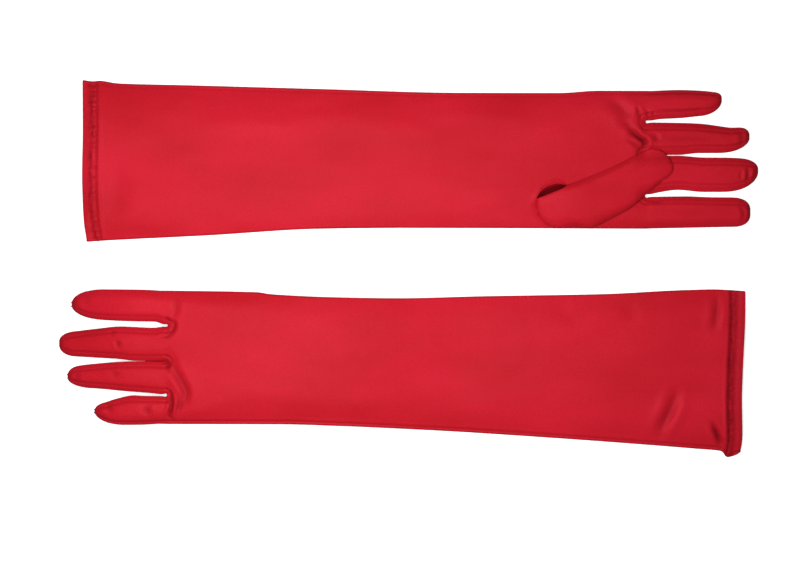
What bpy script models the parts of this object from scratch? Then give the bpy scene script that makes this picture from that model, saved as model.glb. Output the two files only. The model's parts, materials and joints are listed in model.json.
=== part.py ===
"""A pair of elbow-length stretch-satin opera gloves lying flat, side by side and head to tail.

The right glove lies palm up with its thumb folded over the palm. The left one lies palm down with its
thumb folded underneath. +Z is up, X runs along the gloves, and the origin is the middle of the pair's
footprint, on the surface that they lie on. Each glove is built in its own frame: u towards the
fingertips, v towards the little finger and w up, with u = 0 at the finger crotches.
"""

import math

import bmesh
import bpy
from mathutils import Vector

MM = 0.001

# Cloth and seams
CLOTH = 0.6 * MM  # stretch satin, one layer
LINING = 0.5 * MM  # the turned-in layer of the hem
GAP = 0.3 * MM  # clearance between neighbouring pieces
SEAM_IN = 2.5 * MM  # how far a fourchette reaches on to the faces of a finger
SEAM_ALLOWANCE = 4.0 * MM  # width of the cloth inside the side seam

# Thickness of the glove as it lies, with air in it
HALF_HAND = 3.5 * MM
HALF_CUFF = 4.5 * MM
HALF_THUMB = 2.95 * MM
WELT = 0.5 * MM  # height of the seam round the thumb hole
LIFT = 2 * HALF_THUMB + 2 * GAP + WELT  # the left hand lies this high, on its thumb

# Lengths along the glove
HEM = 10.0 * MM
TIP_ROUND = 13.0 * MM  # length of the rounded finger end
KNUCKLE_ROW = -(HALF_HAND + SEAM_IN + GAP)  # where the panels part into fingers
RISE_START, RISE_END = -200.0 * MM, -95.0 * MM  # the left glove climbs on to its thumb here

# Each finger: its middle line, half width, length from the crotch, and middle joint
FINGERS = {
    "index": {"v": -34.7 * MM, "half": 10.2 * MM, "length": 70.5 * MM, "bend": 29.0 * MM},
    "middle": {"v": -8.7 * MM, "half": 10.8 * MM, "length": 77.0 * MM, "bend": 29.0 * MM},
    "ring": {"v": 14.0 * MM, "half": 10.0 * MM, "length": 71.5 * MM, "bend": 27.0 * MM},
    "little": {"v": 36.5 * MM, "half": 9.1 * MM, "length": 53.0 * MM, "bend": 19.0 * MM},
}
FINGER_ORDER = ["index", "middle", "ring", "little"]

# Thumb: a flat tube that swings about a point in its base. Its edges are given along its own length
# from the pivot, as (distance, index side, little-finger side), from the open heel to the tip
THUMB_ANGLE = math.radians(21.8)
THUMB_EDGES = [
    (-12.5 * MM, -8.5 * MM, 8.0 * MM),
    (-8.0 * MM, -12.0 * MM, 12.5 * MM),
    (2.0 * MM, -17.5 * MM, 14.0 * MM),
    (19.0 * MM, -21.0 * MM, 10.8 * MM),
    (45.0 * MM, -18.8 * MM, 10.6 * MM),
    (62.0 * MM, -14.6 * MM, 11.8 * MM),
    (73.0 * MM, -10.6 * MM, 11.6 * MM),
    (80.0 * MM, -7.6 * MM, 8.0 * MM),
    (83.5 * MM, -4.2 * MM, 2.8 * MM),
]
THUMB_HOLE = (11.0 * MM, 7.0 * MM)  # half length and half width of the hole in the palm
WELT_WIDTH = 2.0 * MM

# How each glove lies: where its crotch line is, which way it points, and the edges of its sleeve as
# (u, index side, little-finger side)
GLOVES = {
    "right": {
        "place": (155.7 * MM, 72.0 * MM),
        "turn": 0.0,
        "palm_up": True,
        "thumb_pivot": (-58.0 * MM, -31.0 * MM),
        "edges": [
            (-373.4 * MM, -53.6 * MM, 53.2 * MM),
            (-281.0 * MM, -49.0 * MM, 49.7 * MM),
            (-201.0 * MM, -44.6 * MM, 47.0 * MM),
            (-95.0 * MM, -44.7 * MM, 45.2 * MM),
            (KNUCKLE_ROW, -44.9 * MM, 45.6 * MM),
        ],
    },
    "left": {
        "place": (-155.7 * MM, -59.0 * MM),
        "turn": math.pi,
        "palm_up": False,
        "thumb_pivot": (-58.0 * MM, -27.5 * MM),
        "edges": [
            (-380.0 * MM, -44.5 * MM, 66.2 * MM),
            (-336.0 * MM, -43.6 * MM, 60.4 * MM),
            (-243.0 * MM, -40.2 * MM, 53.4 * MM),
            (-150.0 * MM, -38.6 * MM, 47.4 * MM),
            (-70.0 * MM, -41.6 * MM, 44.6 * MM),
            (KNUCKLE_ROW, -44.9 * MM, 45.6 * MM),
        ],
    },
}

SATIN = (0.60, 0.014, 0.030)
SATIN_INSIDE = (0.45, 0.012, 0.024)
THREAD = (0.52, 0.010, 0.022)


def clear_scene():
    for obj in list(bpy.data.objects):
        bpy.data.objects.remove(obj)


def cloth_material(name, colour, roughness):
    material = bpy.data.materials.new(name)
    material.use_nodes = True
    shader = material.node_tree.nodes["Principled BSDF"]
    shader.inputs["Base Color"].default_value = (*colour, 1.0)
    shader.inputs["Roughness"].default_value = roughness
    shader.inputs["Metallic"].default_value = 0.0
    return material


def empty_at(name, place, turn=0.0, parent=None):
    empty = bpy.data.objects.new(name, None)
    empty.location = place
    empty.rotation_euler = (0.0, 0.0, turn)
    empty.parent = parent
    bpy.context.scene.collection.objects.link(empty)
    return empty


def add_object(name, data, group, parent, material):
    obj = bpy.data.objects.new(name, data)
    obj.parent = parent
    data.materials.append(material)
    group.objects.link(obj)
    return obj


def lofted_sheet(name, rows, origin, group, parent, material, thickness=CLOTH, ring=False):
    """A sheet through rows of points, with its outer face given, thickened inwards.

    origin is the point of the glove's frame where the parent empty stands.
    """
    mesh = bpy.data.meshes.new(name)
    bm = bmesh.new()
    lines = [[bm.verts.new(Vector(p) - Vector(origin)) for p in row] for row in rows]
    for line, following in zip(lines, lines[1:]):
        count = len(line) if ring else len(line) - 1
        for i in range(count):
            j = (i + 1) % len(line)
            bm.faces.new((line[i], following[i], following[j], line[j]))
    bm.to_mesh(mesh)
    bm.free()
    mesh.shade_smooth()
    mesh.set_sharp_from_angle(angle=math.radians(50))
    obj = add_object(name, mesh, group, parent, material)
    thicken(obj, thickness)
    return obj


def thicken(obj, thickness):
    solidify = obj.modifiers.new("Cloth", "SOLIDIFY")
    solidify.thickness = thickness
    solidify.offset = -1.0
    solidify.use_even_offset = True


def between(rows, u):
    """The two edges of the sleeve at u, from the rows of a glove's outline."""
    for (u0, a0, b0), (u1, a1, b1) in zip(rows, rows[1:]):
        if u <= u1:
            share = (u - u0) / (u1 - u0)
            return a0 + share * (a1 - a0), b0 + share * (b1 - b0)
    return rows[-1][1:]


def half_height(glove, u):
    """Half the thickness of the sleeve: fuller at the cuff than at the hand."""
    cuff = glove["edges"][0][0]
    share = min(1.0, max(0.0, (u - cuff) / (RISE_START - cuff)))
    return HALF_CUFF + share * (HALF_HAND - HALF_CUFF)


def lift(glove, u):
    """Height of the sleeve's underside: the left hand climbs on to its thumb."""
    if glove["palm_up"]:
        return 0.0
    share = min(1.0, max(0.0, (u - RISE_START) / (RISE_END - RISE_START)))
    return LIFT * share * share * (3 - 2 * share)


def folded_edge(half_width, half_thick):
    """The upper quarter of a rounded edge, from the middle plane to the flat face, as (v, w).

    It starts above the middle plane, so that the inner faces of the two panels clear each other.
    """
    flat = half_width - half_thick
    first = (GAP + CLOTH) / 2 / half_thick
    turns = (first, math.pi / 4, math.pi / 2)
    return [(flat + half_thick * math.cos(t), half_thick * math.sin(t)) for t in turns]


def sewn_edge(half_width, half_thick, reach):
    """Where a flat face stops at its seam with a fourchette, as (v, w)."""
    return [(half_width - half_thick - reach - GAP, half_thick)]


def wrapped_side(half_width, half_thick, reach):
    """A fourchette's section, from the upper face round the side to the lower face, as (v, w)."""
    flat = half_width - half_thick
    turns = (math.pi / 2, math.pi / 4, 0.0, -math.pi / 4, -math.pi / 2)
    arc = [(flat + half_thick * math.cos(t), half_thick * math.sin(t)) for t in turns]
    return [(flat - reach, half_thick), *arc, (flat - reach, -half_thick)]


def flipped(points):
    """The same section on the other face, run the other way so that its outside stays outside."""
    return [(v, -w) for v, w in reversed(points)]


def mirrored(points):
    return [(-v, w) for v, w in points]


def placed(points, u, v, w):
    return [(u, v + dv, w + dw) for dv, dw in points]


def sleeve_rows(glove, upper):
    """Rows of one panel from the cuff to the row where the fingers part."""
    rise = [RISE_START + share * (RISE_END - RISE_START) for share in (0.0, 0.25, 0.5, 0.75, 1.0)]
    stops = sorted({row[0] for row in glove["edges"]} | set(rise))
    end_width = glove["edges"][-1][2] - glove["edges"][-1][1]
    end_middle = (glove["edges"][-1][2] + glove["edges"][-1][1]) / 2
    rows = []
    for u in stops:
        index_side, little_side = between(glove["edges"], u)
        half_width, middle = (little_side - index_side) / 2, (little_side + index_side) / 2
        thick = half_height(glove, u)
        edge = folded_edge(half_width, thick)
        stretch = 2 * half_width / end_width
        inner = [((v - end_middle) * stretch, thick) for v in parting_stops()]
        section = mirrored(edge) + inner + list(reversed(edge))
        if not upper:
            section = flipped(section)
        rows.append(placed(section, u, middle, lift(glove, u) + thick))
    return rows


def parting_stops():
    """The v of every finger seam along the row where the panel parts into fingers."""
    stops = []
    for name in FINGER_ORDER:
        finger = FINGERS[name]
        reach = finger["half"] - HALF_HAND - SEAM_IN - GAP
        if name != "index":
            stops.append(finger["v"] - reach)
        if name != "little":
            stops.append(finger["v"] + reach)
    return stops


def panel(name, glove, upper, group, parent, material):
    """The palm or back of the glove: sleeve, hand and the near half of each finger."""
    rows = sleeve_rows(glove, upper)
    obj = lofted_sheet(name, rows, (0, 0, 0), group, parent, material)
    bm = bmesh.new()
    bm.from_mesh(obj.data)
    bm.verts.ensure_lookup_table()
    count = len(rows[-1])
    last = [bm.verts[len(bm.verts) - count + i] for i in range(count)]
    if not upper:
        last.reverse()
    edge = len(folded_edge(1, HALF_HAND))
    spans = {
        "index": last[: edge + 1],
        "middle": last[edge + 1 : edge + 3],
        "ring": last[edge + 3 : edge + 5],
        "little": last[edge + 5 :],
    }
    for finger_name, start in spans.items():
        end_u = FINGERS[finger_name]["bend"] - GAP / 2
        end = [bm.verts.new((end_u, v.co.y, v.co.z)) for v in start]
        for i in range(len(start) - 1):
            corners = [start[i], end[i], end[i + 1], start[i + 1]]
            bm.faces.new(corners if upper else list(reversed(corners)))
    bm.to_mesh(obj.data)
    bm.free()
    return obj


def web(name, glove, lower_finger, upper_finger, group, parent, material):
    """The near half of a fourchette: along one finger, round the crotch and along the next."""
    near, far = FINGERS[lower_finger], FINGERS[upper_finger]
    wall_near, wall_far = near["v"] + near["half"], far["v"] - far["half"]
    half_gap = (wall_far - wall_near) / 2
    middle = (wall_far + wall_near) / 2
    depth = HALF_HAND + SEAM_IN
    height = lift(glove, 0.0) + HALF_HAND
    section = wrapped_side(depth, HALF_HAND, SEAM_IN)  # its v runs from the seam towards the gap
    rows = []

    def row(u, direction, square):
        """One row, square on to the gap; direction points away from the gap."""
        points = []
        for v, w in section:
            away = half_gap + depth - v
            if v <= 0:
                away *= square
            points.append((u + away * direction[0], middle + away * direction[1], height + w))
        rows.append(points)

    row(far["bend"] - GAP / 2, (0, 1), 1)
    for step in range(7):
        turn = math.pi / 2 + step * math.pi / 6
        c, s = math.cos(turn), math.sin(turn)
        row(half_gap, (c, s), 1 / max(abs(c), abs(s)))
    row(near["bend"] - GAP / 2, (0, -1), 1)
    return lofted_sheet(name, rows, (0, 0, 0), group, parent, material)


def finger_end_rows(glove, finger, section_at):
    """Rows of one strip of a finger from its middle joint to its rounded tip."""
    tip, start = finger["length"], finger["bend"] + GAP / 2
    turns = [0.0, 0.3, 0.62, 0.92, 1.2]
    stops = [(start, 1.0)]
    stops += [(tip - TIP_ROUND * (1 - math.sin(t)), math.cos(t)) for t in turns]
    rows = []
    for u, share in stops:
        fall = min(1.0, (u - start) / (tip - start))
        base = lift(glove, 0.0) * (1 - fall)
        section = section_at(finger["half"] * share, HALF_HAND * share, SEAM_IN * share)
        rows.append(placed(section, u, finger["v"], base + HALF_HAND))
    u, share = stops[-1]
    closing = [(v, math.copysign(GAP, w)) for v, w in section]
    rows.append(placed(closing, u + GAP / 3, finger["v"], base + HALF_HAND))
    return rows


def finger_end(side, glove, name, group, frame, material):
    """The far half of a finger: two faces and the fourchettes between them, on its hinge."""
    finger = FINGERS[name]
    height = lift(glove, 0.0) + 2 * HALF_HAND
    origin = (finger["bend"], finger["v"], height)
    hinge = empty_at(f"{side}_{name}_hinge", origin, parent=frame)

    def upper_face(half_width, half_thick, reach):
        sewn = sewn_edge(half_width, half_thick, reach)
        folded = folded_edge(half_width, half_thick)
        left = folded if name == "index" else sewn
        right = folded if name == "little" else sewn
        return mirrored(left) + list(reversed(right))

    def lower_face(half_width, half_thick, reach):
        return flipped(upper_face(half_width, half_thick, reach))

    def thumb_side(half_width, half_thick, reach):
        return list(reversed(mirrored(wrapped_side(half_width, half_thick, reach))))

    sections = {
        "palm": upper_face if glove["palm_up"] else lower_face,
        "back": lower_face if glove["palm_up"] else upper_face,
    }
    if name != "index":
        sections["fourchette_thumb_side"] = thumb_side
    if name != "little":
        sections["fourchette_little_side"] = wrapped_side
    for piece, section in sections.items():
        rows = finger_end_rows(glove, finger, section)
        if piece.startswith("fourchette"):
            rows.pop()  # a fourchette ends at the tip's seam, and the faces close the tip
        lofted_sheet(f"{side}_{name}_end_{piece}", rows, origin, group, hinge, material)


def stadium_ring(half_width, half_thick):
    """A whole flat oval section, run from the upper face round the little-finger side."""
    upper = [(half_width - half_thick, half_thick)]
    side = wrapped_side(half_width, half_thick, 0.0)[2:-2]
    lower = [(half_width - half_thick, -half_thick)]
    right = upper + side + lower
    return right + list(reversed(mirrored(right)))


def hem_lining(side, glove, group, frame, material):
    """The layer turned in at the cuff, a flat band inside the mouth."""
    cuff = glove["edges"][0][0]
    inset = CLOTH + GAP
    rows = []
    for u in (cuff + GAP, cuff + HEM):
        index_side, little_side = between(glove["edges"], u)
        half_width, middle = (little_side - index_side) / 2, (little_side + index_side) / 2
        thick = half_height(glove, u)
        section = stadium_ring(half_width - inset, thick - inset)
        rows.append(placed(section, u, middle, thick))
    lofted_sheet(f"{side}_hem_lining", rows, (0, 0, 0), group, frame, material, LINING, ring=True)


def hem_overlock(side, glove, group, frame, material):
    """The overlock thread that binds the raw edge of the hem, just past the lining, inside."""
    radius = 0.35 * MM
    u = glove["edges"][0][0] + HEM + GAP + radius
    index_side, little_side = between(glove["edges"], u)
    half_width, middle = (little_side - index_side) / 2, (little_side + index_side) / 2
    thick = half_height(glove, u)
    inset = CLOTH + GAP + radius + 0.1 * MM
    curve = bpy.data.curves.new(f"{side}_hem_overlock", "CURVE")
    curve.dimensions = "3D"
    curve.bevel_depth = radius
    curve.bevel_resolution = 1
    spline = curve.splines.new("POLY")
    points = placed(stadium_ring(half_width - inset, thick - inset), u, middle, thick)
    spline.points.add(len(points) - 1)
    for target, point in zip(spline.points, points):
        target.co = (*point, 1.0)
    spline.use_cyclic_u = True
    add_object(f"{side}_hem_overlock", curve, group, frame, material)


def side_seam(side, glove, group, frame, material):
    """The allowance inside the little-finger seam, from the hem to the little finger's joint."""
    cuff = glove["edges"][0][0]
    stops = [cuff + HEM + 2 * MM, *(row[0] for row in glove["edges"][1:])]
    stops += [RISE_START, (RISE_START + RISE_END) / 2, RISE_END, FINGERS["little"]["bend"] - GAP]
    rows = []
    for u in sorted(stops):
        outer = between(glove["edges"], u)[1] - CLOTH - GAP
        height = lift(glove, u) + half_height(glove, u) + LINING / 2
        rows.append([(u, outer - SEAM_ALLOWANCE, height), (u, outer, height)])
    lofted_sheet(f"{side}_side_seam_allowance", rows, (0, 0, 0), group, frame, material, LINING)


def thumb(side, glove, group, frame, material):
    """The thumb: one flat tube, open at its heel, on the vertical axis that it swings about."""
    low = 2 * HALF_HAND + 2 * GAP + WELT if glove["palm_up"] else 0.0
    origin = (*glove["thumb_pivot"], low + HALF_THUMB)
    pivot = empty_at(f"{side}_thumb_pivot", origin, THUMB_ANGLE, frame)
    tip = THUMB_EDGES[-1][0] + GAP
    rows = []
    for along, index_side, little_side in THUMB_EDGES:
        half_width, middle = (little_side - index_side) / 2, (little_side + index_side) / 2
        thick = min(HALF_THUMB, math.sqrt(TIP_ROUND * (tip - along)))
        rows.append(placed(stadium_ring(half_width, thick), along, middle, 0.0))
    obj = lofted_sheet(f"{side}_thumb", rows, (0, 0, 0), group, pivot, material, ring=True)
    bm = bmesh.new()
    bm.from_mesh(obj.data)
    bm.verts.ensure_lookup_table()
    count = len(rows[-1])
    bm.faces.new([bm.verts[len(bm.verts) - 1 - i] for i in range(count)])
    bm.to_mesh(obj.data)
    bm.free()


def oval(curve, half_length, half_width):
    """Adds a smooth closed oval to a flat curve."""
    handle = 0.5523  # the handle length that makes a quarter of an ellipse
    spline = curve.splines.new("BEZIER")
    spline.bezier_points.add(3)
    spline.use_cyclic_u = True
    for point, (x, y) in zip(spline.bezier_points, ((1, 0), (0, 1), (-1, 0), (0, -1))):
        place = Vector((x * half_length, y * half_width, 0))
        along = Vector((-y * half_length, x * half_width, 0)) * handle
        point.co = place
        point.handle_left = place - along
        point.handle_right = place + along


def thumb_seam(side, glove, group, frame, material):
    """The welt sewn round the thumb hole, a flat oval band between palm and thumb."""
    curve = bpy.data.curves.new(f"{side}_thumb_seam", "CURVE")
    curve.dimensions = "2D"
    curve.fill_mode = "BOTH"
    curve.extrude = WELT / 2
    curve.resolution_u = 5
    oval(curve, THUMB_HOLE[0] + WELT_WIDTH, THUMB_HOLE[1] + WELT_WIDTH)
    oval(curve, *THUMB_HOLE)
    obj = add_object(f"{side}_thumb_seam", curve, group, frame, material)
    palm_face = 2 * HALF_HAND + GAP + WELT / 2 if glove["palm_up"] else LIFT - GAP - WELT / 2
    obj.location = (*glove["thumb_pivot"], palm_face)
    obj.rotation_euler = (0.0, 0.0, THUMB_ANGLE)


def thumb_hole(side, glove, palm, cutters, frame):
    """Cuts the hole that the thumb opens from, through the palm panel only."""
    bpy.ops.mesh.primitive_cylinder_add(vertices=20, radius=1.0, depth=HALF_HAND)
    cutter = bpy.context.object
    cutter.name = f"{side}_thumb_hole_cutter"
    cutter.scale = (*THUMB_HOLE, 1.0)
    palm_face = 2 * HALF_HAND if glove["palm_up"] else LIFT
    cutter.location = (*glove["thumb_pivot"], palm_face)
    cutter.rotation_euler = (0.0, 0.0, THUMB_ANGLE)
    cutter.parent = frame
    cutter.hide_render = True
    cutter.display_type = "WIRE"
    for holder in list(cutter.users_collection):
        holder.objects.unlink(cutter)
    cutters.objects.link(cutter)
    cut = palm.modifiers.new("Thumb hole", "BOOLEAN")
    cut.object = cutter
    cut.operation = "DIFFERENCE"


def build_glove(side, glove, group, cutters, materials):
    satin, inside, thread = materials
    frame = empty_at(f"{side}_glove_frame", (*glove["place"], 0.0), glove["turn"])
    palm = panel(f"{side}_palm_panel", glove, glove["palm_up"], group, frame, satin)
    panel(f"{side}_back_panel", glove, not glove["palm_up"], group, frame, satin)
    for near, far in zip(FINGER_ORDER, FINGER_ORDER[1:]):
        web(f"{side}_fourchette_{near}_{far}", glove, near, far, group, frame, satin)
    for name in FINGER_ORDER:
        finger_end(side, glove, name, group, frame, satin)
    hem_lining(side, glove, group, frame, satin)
    hem_overlock(side, glove, group, frame, thread)
    side_seam(side, glove, group, frame, inside)
    thumb(side, glove, group, frame, satin)
    thumb_seam(side, glove, group, frame, thread)
    thumb_hole(side, glove, palm, cutters, frame)


def main():
    clear_scene()
    group = bpy.data.collections.new("opera_gloves")
    cutters = bpy.data.collections.new("cutters")
    for collection in (group, cutters):
        bpy.context.scene.collection.children.link(collection)
    materials = (
        cloth_material("red satin", SATIN, 0.42),
        cloth_material("satin wrong side", SATIN_INSIDE, 0.75),
        cloth_material("sewing thread", THREAD, 0.55),
    )
    for side, glove in GLOVES.items():
        build_glove(side, glove, group, cutters, materials)


main()
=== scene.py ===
import json
import math

import bpy
import numpy as np
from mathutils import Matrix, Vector, noise
from mathutils.bvhtree import BVHTree


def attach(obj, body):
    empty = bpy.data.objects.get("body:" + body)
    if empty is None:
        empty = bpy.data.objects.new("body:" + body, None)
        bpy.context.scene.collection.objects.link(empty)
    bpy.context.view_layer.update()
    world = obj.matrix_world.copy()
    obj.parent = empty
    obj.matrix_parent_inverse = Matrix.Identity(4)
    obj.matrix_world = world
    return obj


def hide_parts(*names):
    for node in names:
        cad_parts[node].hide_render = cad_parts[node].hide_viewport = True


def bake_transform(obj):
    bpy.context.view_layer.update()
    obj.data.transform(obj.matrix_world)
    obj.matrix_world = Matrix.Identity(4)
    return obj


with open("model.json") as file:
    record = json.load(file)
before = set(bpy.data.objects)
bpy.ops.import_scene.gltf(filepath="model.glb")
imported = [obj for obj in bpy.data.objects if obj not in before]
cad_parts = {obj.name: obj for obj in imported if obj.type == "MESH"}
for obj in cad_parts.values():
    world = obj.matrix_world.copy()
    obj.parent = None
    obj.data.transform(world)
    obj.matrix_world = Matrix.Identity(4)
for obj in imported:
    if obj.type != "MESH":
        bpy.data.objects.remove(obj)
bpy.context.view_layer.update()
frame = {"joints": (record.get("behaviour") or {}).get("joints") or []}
joints = {joint["name"]: joint for joint in frame["joints"]}
mm = 0.001

# Each glove is drawn in millimetres in its own frame: u runs towards the fingertips from the finger
# crotches, v towards the little finger, and w up. The right glove lies palm up, the left one back up.
fingerNames = ["index", "middle", "ring", "little"]
clothThickness = 0.45
sideSeam = 2.2  # how far in from the glove's sides its faces end and its edge strips start
faceStart = 3.0  # where the sleeve's last row ends and the fingers begin

# How finely the cloth is divided before it is smoothed: steps across a finger's face, round a crotch
# and round an edge, and the millimetres between rows on the sleeve and on the fingers
grid = {
    "face": 8,
    "web": 6,
    "strip": 8,
    "row": 3.0,
    "afterHem": 2.2,
    "palmStart": -48.0,
    "beforePalm": 2.4,
    "palmRows": 27,
    "fingerRow": 2.2,
}
tipTurns = np.radians([0, 16, 31, 45, 57, 67, 75, 81])  # rows close up round a fingertip

gloves = {
    "right": {
        "turn": 1,
        "palmUp": True,
        "cuff": -372.7,
        "cuffShape": [(-53.0, 2.3), (-40.0, 0.7), (-10.0, -0.3), (20.0, 0.2), (40.0, 0.0), (53.0, -0.4)],
        "low": [
            (-373, -53.9), (-350, -52.6), (-290, -49.6), (-215, -45.2), (-160, -44.6), (4, -45.2),
        ],
        "high": [
            (-373, 53.5), (-366.5, 52.6), (-362.5, 53.0), (-350, 51.2), (-300, 49.9), (-215, 47.5),
            (-120, 44.9), (-55, 44.8), (-28, 46.3), (4, 46.2),
        ],
        "webs": [(3.0, -23.6, 1.0), (2.0, 3.4, 0.7), (3.4, 26.0, 0.8)],
        "seamReach": 4.8,
        "fingers": {
            "index": {
                "low": [(4, -45.2), (30.8, -44.5), (60, -43.9)],
                "high": [(4.0, -24.6), (30.8, -24.5), (46.8, -25.1), (60, -25.2)],
                "tip": (73.7, -34.4),
                "lowRound": (61, 2.6),
                "highRound": (60, 2.6),
            },
            "middle": {
                "low": [(4.0, -22.6), (12, -20.9), (25, -19.2), (41.5, -20.5), (57.5, -20.5)],
                "high": [(2.7, 2.7), (25, 2.8), (41.5, 1.5), (57.5, 1.4), (70, 0.9)],
                "tip": (78.9, -6.4),
                "lowRound": (55, 2.1),
                "highRound": (66, 2.2),
            },
            "ring": {
                "low": [(2.7, 4.1), (25, 4.2), (38.8, 5.5), (54.8, 5.5)],
                "high": [(4.2, 25.2), (25, 24.8), (38.8, 24.2), (54.8, 22.2), (60, 21.5), (68, 21.7)],
                "tip": (73.1, 15.6),
                "lowRound": (52, 2.0),
                "highRound": (65.5, 2.6),
            },
            "little": {
                "low": [(4.2, 26.8), (12, 28.0), (25.5, 28.8), (38.8, 30.2)],
                "high": [(4, 46.2), (25.5, 46.8), (38.8, 46.3), (49.5, 45.3)],
                "tip": (54.5, 40.8),
                "lowRound": (38, 2.0),
                "highRound": (48.5, 2.6),
            },
        },
    },
    "left": {
        "turn": -1,
        "palmUp": False,
        "cuff": -378.7,
        "cuffShape": [(-44.0, -2.2), (-23.0, -1.6), (-3.0, -0.6), (30.0, 0.5), (54.0, 0.0), (67.0, 1.6)],
        "low": [
            (-380, -43.3), (-360, -44.5), (-340, -44.0), (-285, -41.3), (-205, -39.9), (-150, -38.6),
            (-110, -39.2), (-63, -41.4), (-56, -42.6), (7, -43.8),
        ],
        "high": [
            (-380, 62.5), (-376.5, 65.4), (-369.5, 67.0), (-365.5, 62.8), (-350, 61.4), (-255, 54.2),
            (-150, 47.6), (-110, 45.6), (-70, 44.4), (7, 44.2),
        ],
        "webs": [(4.6, -20.9, 0.7), (5.4, 2.9, 0.3), (5.1, 25.5, 0.9)],
        "seamReach": 3.6,
        "fingers": {
            "index": {
                "low": [(7, -43.8), (23, -44.4), (49.8, -44.5), (56, -44.2)],
                "high": [(5.2, -21.9), (8, -22.9), (12, -23.8), (23, -24.0), (50, -25.1)],
                "tip": (69.8, -34.5),
                "lowRound": (50, 2.2),
                "highRound": (46, 2.0),
            },
            "middle": {
                "low": [(5.2, -19.9), (13, -19.1), (36.5, -19.8), (49.8, -18.5), (65.8, -16.6)],
                "high": [(5.7, 2.3), (25.8, 2.2), (36.5, 0.9), (49.8, 0.2), (65.8, -0.6)],
                "tip": (78.3, -9.0),
                "lowRound": (63, 2.4),
                "highRound": (65, 2.4),
            },
            "ring": {
                "low": [(5.7, 3.5), (18, 3.1), (33.8, 3.6), (49.8, 4.8), (63.1, 6.2)],
                "high": [(6.0, 24.6), (17.8, 23.6), (33.8, 22.2), (49.8, 20.8), (63.1, 20.2)],
                "tip": (72.6, 14.0),
                "lowRound": (60, 2.4),
                "highRound": (57, 2.0),
            },
            "little": {
                "low": [(6.0, 26.4), (20, 26.3), (27, 26.0), (39, 28.4), (46, 30.7)],
                "high": [(7, 44.2), (25.8, 44.8), (39.1, 44.8)],
                "tip": (54.0, 36.4),
                "lowRound": (44, 2.0),
                "highRound": (34, 2.0),
            },
        },
    },
}

# The lying glove's thickness: how far its outline is let out, how round its edges are, the height of its
# crown along its length, and how far in from each kind of edge it takes to reach that height
relief = {
    "lowOutset": 0.5,
    "highOutset": 0.7,
    "edgeRadius": 1.1,
    "fingerEdge": 1.5,
    "crown": [
        (-380, 4.6), (-373, 5.4), (-366, 7.4), (-345, 6.8), (-200, 5.6), (-60, 6.0), (0, 5.8), (30, 5.9),
        (80, 5.6),
    ],
    "sideReach": [(-380, 30.0), (-80, 26.0), (-20, 13.0), (3, 9.0)],
    "fingerReach": 6.5,
    "crotchReach": 9.0,
    "tipReach": 9.0,
}


def smoothStep(x):
    x = np.clip(x, 0.0, 1.0)
    return x * x * (3 - 2 * x)


def thinning(ending):
    # how much of its thickness a tip keeps, from 1 where it starts to round off to 0 at its end
    return float((1 - ending**2.4) ** (1 / 2.4))


def curveThrough(points):
    # a smooth line through given points, with no overshoot between them
    x = np.array([p[0] for p in points], float)
    y = np.array([p[1] for p in points], float)
    slope = np.diff(y) / np.diff(x)
    tangent = np.concatenate([slope[:1], np.zeros(len(x) - 2), slope[-1:]])
    for i in range(1, len(x) - 1):
        if slope[i - 1] * slope[i] > 0:
            tangent[i] = 2 / (1 / slope[i - 1] + 1 / slope[i])

    def at(q):
        q = np.clip(q, x[0], x[-1])
        i = np.clip(np.searchsorted(x, q) - 1, 0, len(slope) - 1)
        step = x[i + 1] - x[i]
        t = (q - x[i]) / step
        start = y[i] * (1 + 2 * t) * (1 - t) ** 2 + step * tangent[i] * t * (1 - t) ** 2
        return start + y[i + 1] * t * t * (3 - 2 * t) + step * tangent[i + 1] * t * t * (t - 1)

    return at


def bendPoint(side, finger):
    return Vector(joints[f"{side}_{finger}_bend"]["pos_m"])


middleJoint = (29.0, -8.7)  # where the middle finger's joint is in the glove's own frame


def findPlaces():
    # reads from the frame's joints where each glove lies, how high, and where its fingers bend
    floorHinge = bendPoint("right", "middle").z
    jointU, jointV = middleJoint
    for side, glove in gloves.items():
        bend = bendPoint(side, "middle")
        glove["origin"] = (bend.x - glove["turn"] * jointU * mm, bend.y - glove["turn"] * jointV * mm)
        glove["lift"] = (bend.z - floorHinge) / mm
        glove["bends"] = {}
        for finger in fingerNames:
            point = bendPoint(side, finger)
            glove["bends"][finger] = (point.x - glove["origin"][0]) / mm * glove["turn"]


def toWorld(side, points):
    glove = gloves[side]
    points = np.asarray(points, float)
    placed = np.empty_like(points)
    placed[:, 0] = glove["origin"][0] + glove["turn"] * points[:, 0] * mm
    placed[:, 1] = glove["origin"][1] + glove["turn"] * points[:, 1] * mm
    placed[:, 2] = points[:, 2] * mm
    return placed


def spotInWorld(side, u, v, w):
    return tuple(toWorld(side, [[u, v, w]])[0])


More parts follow.
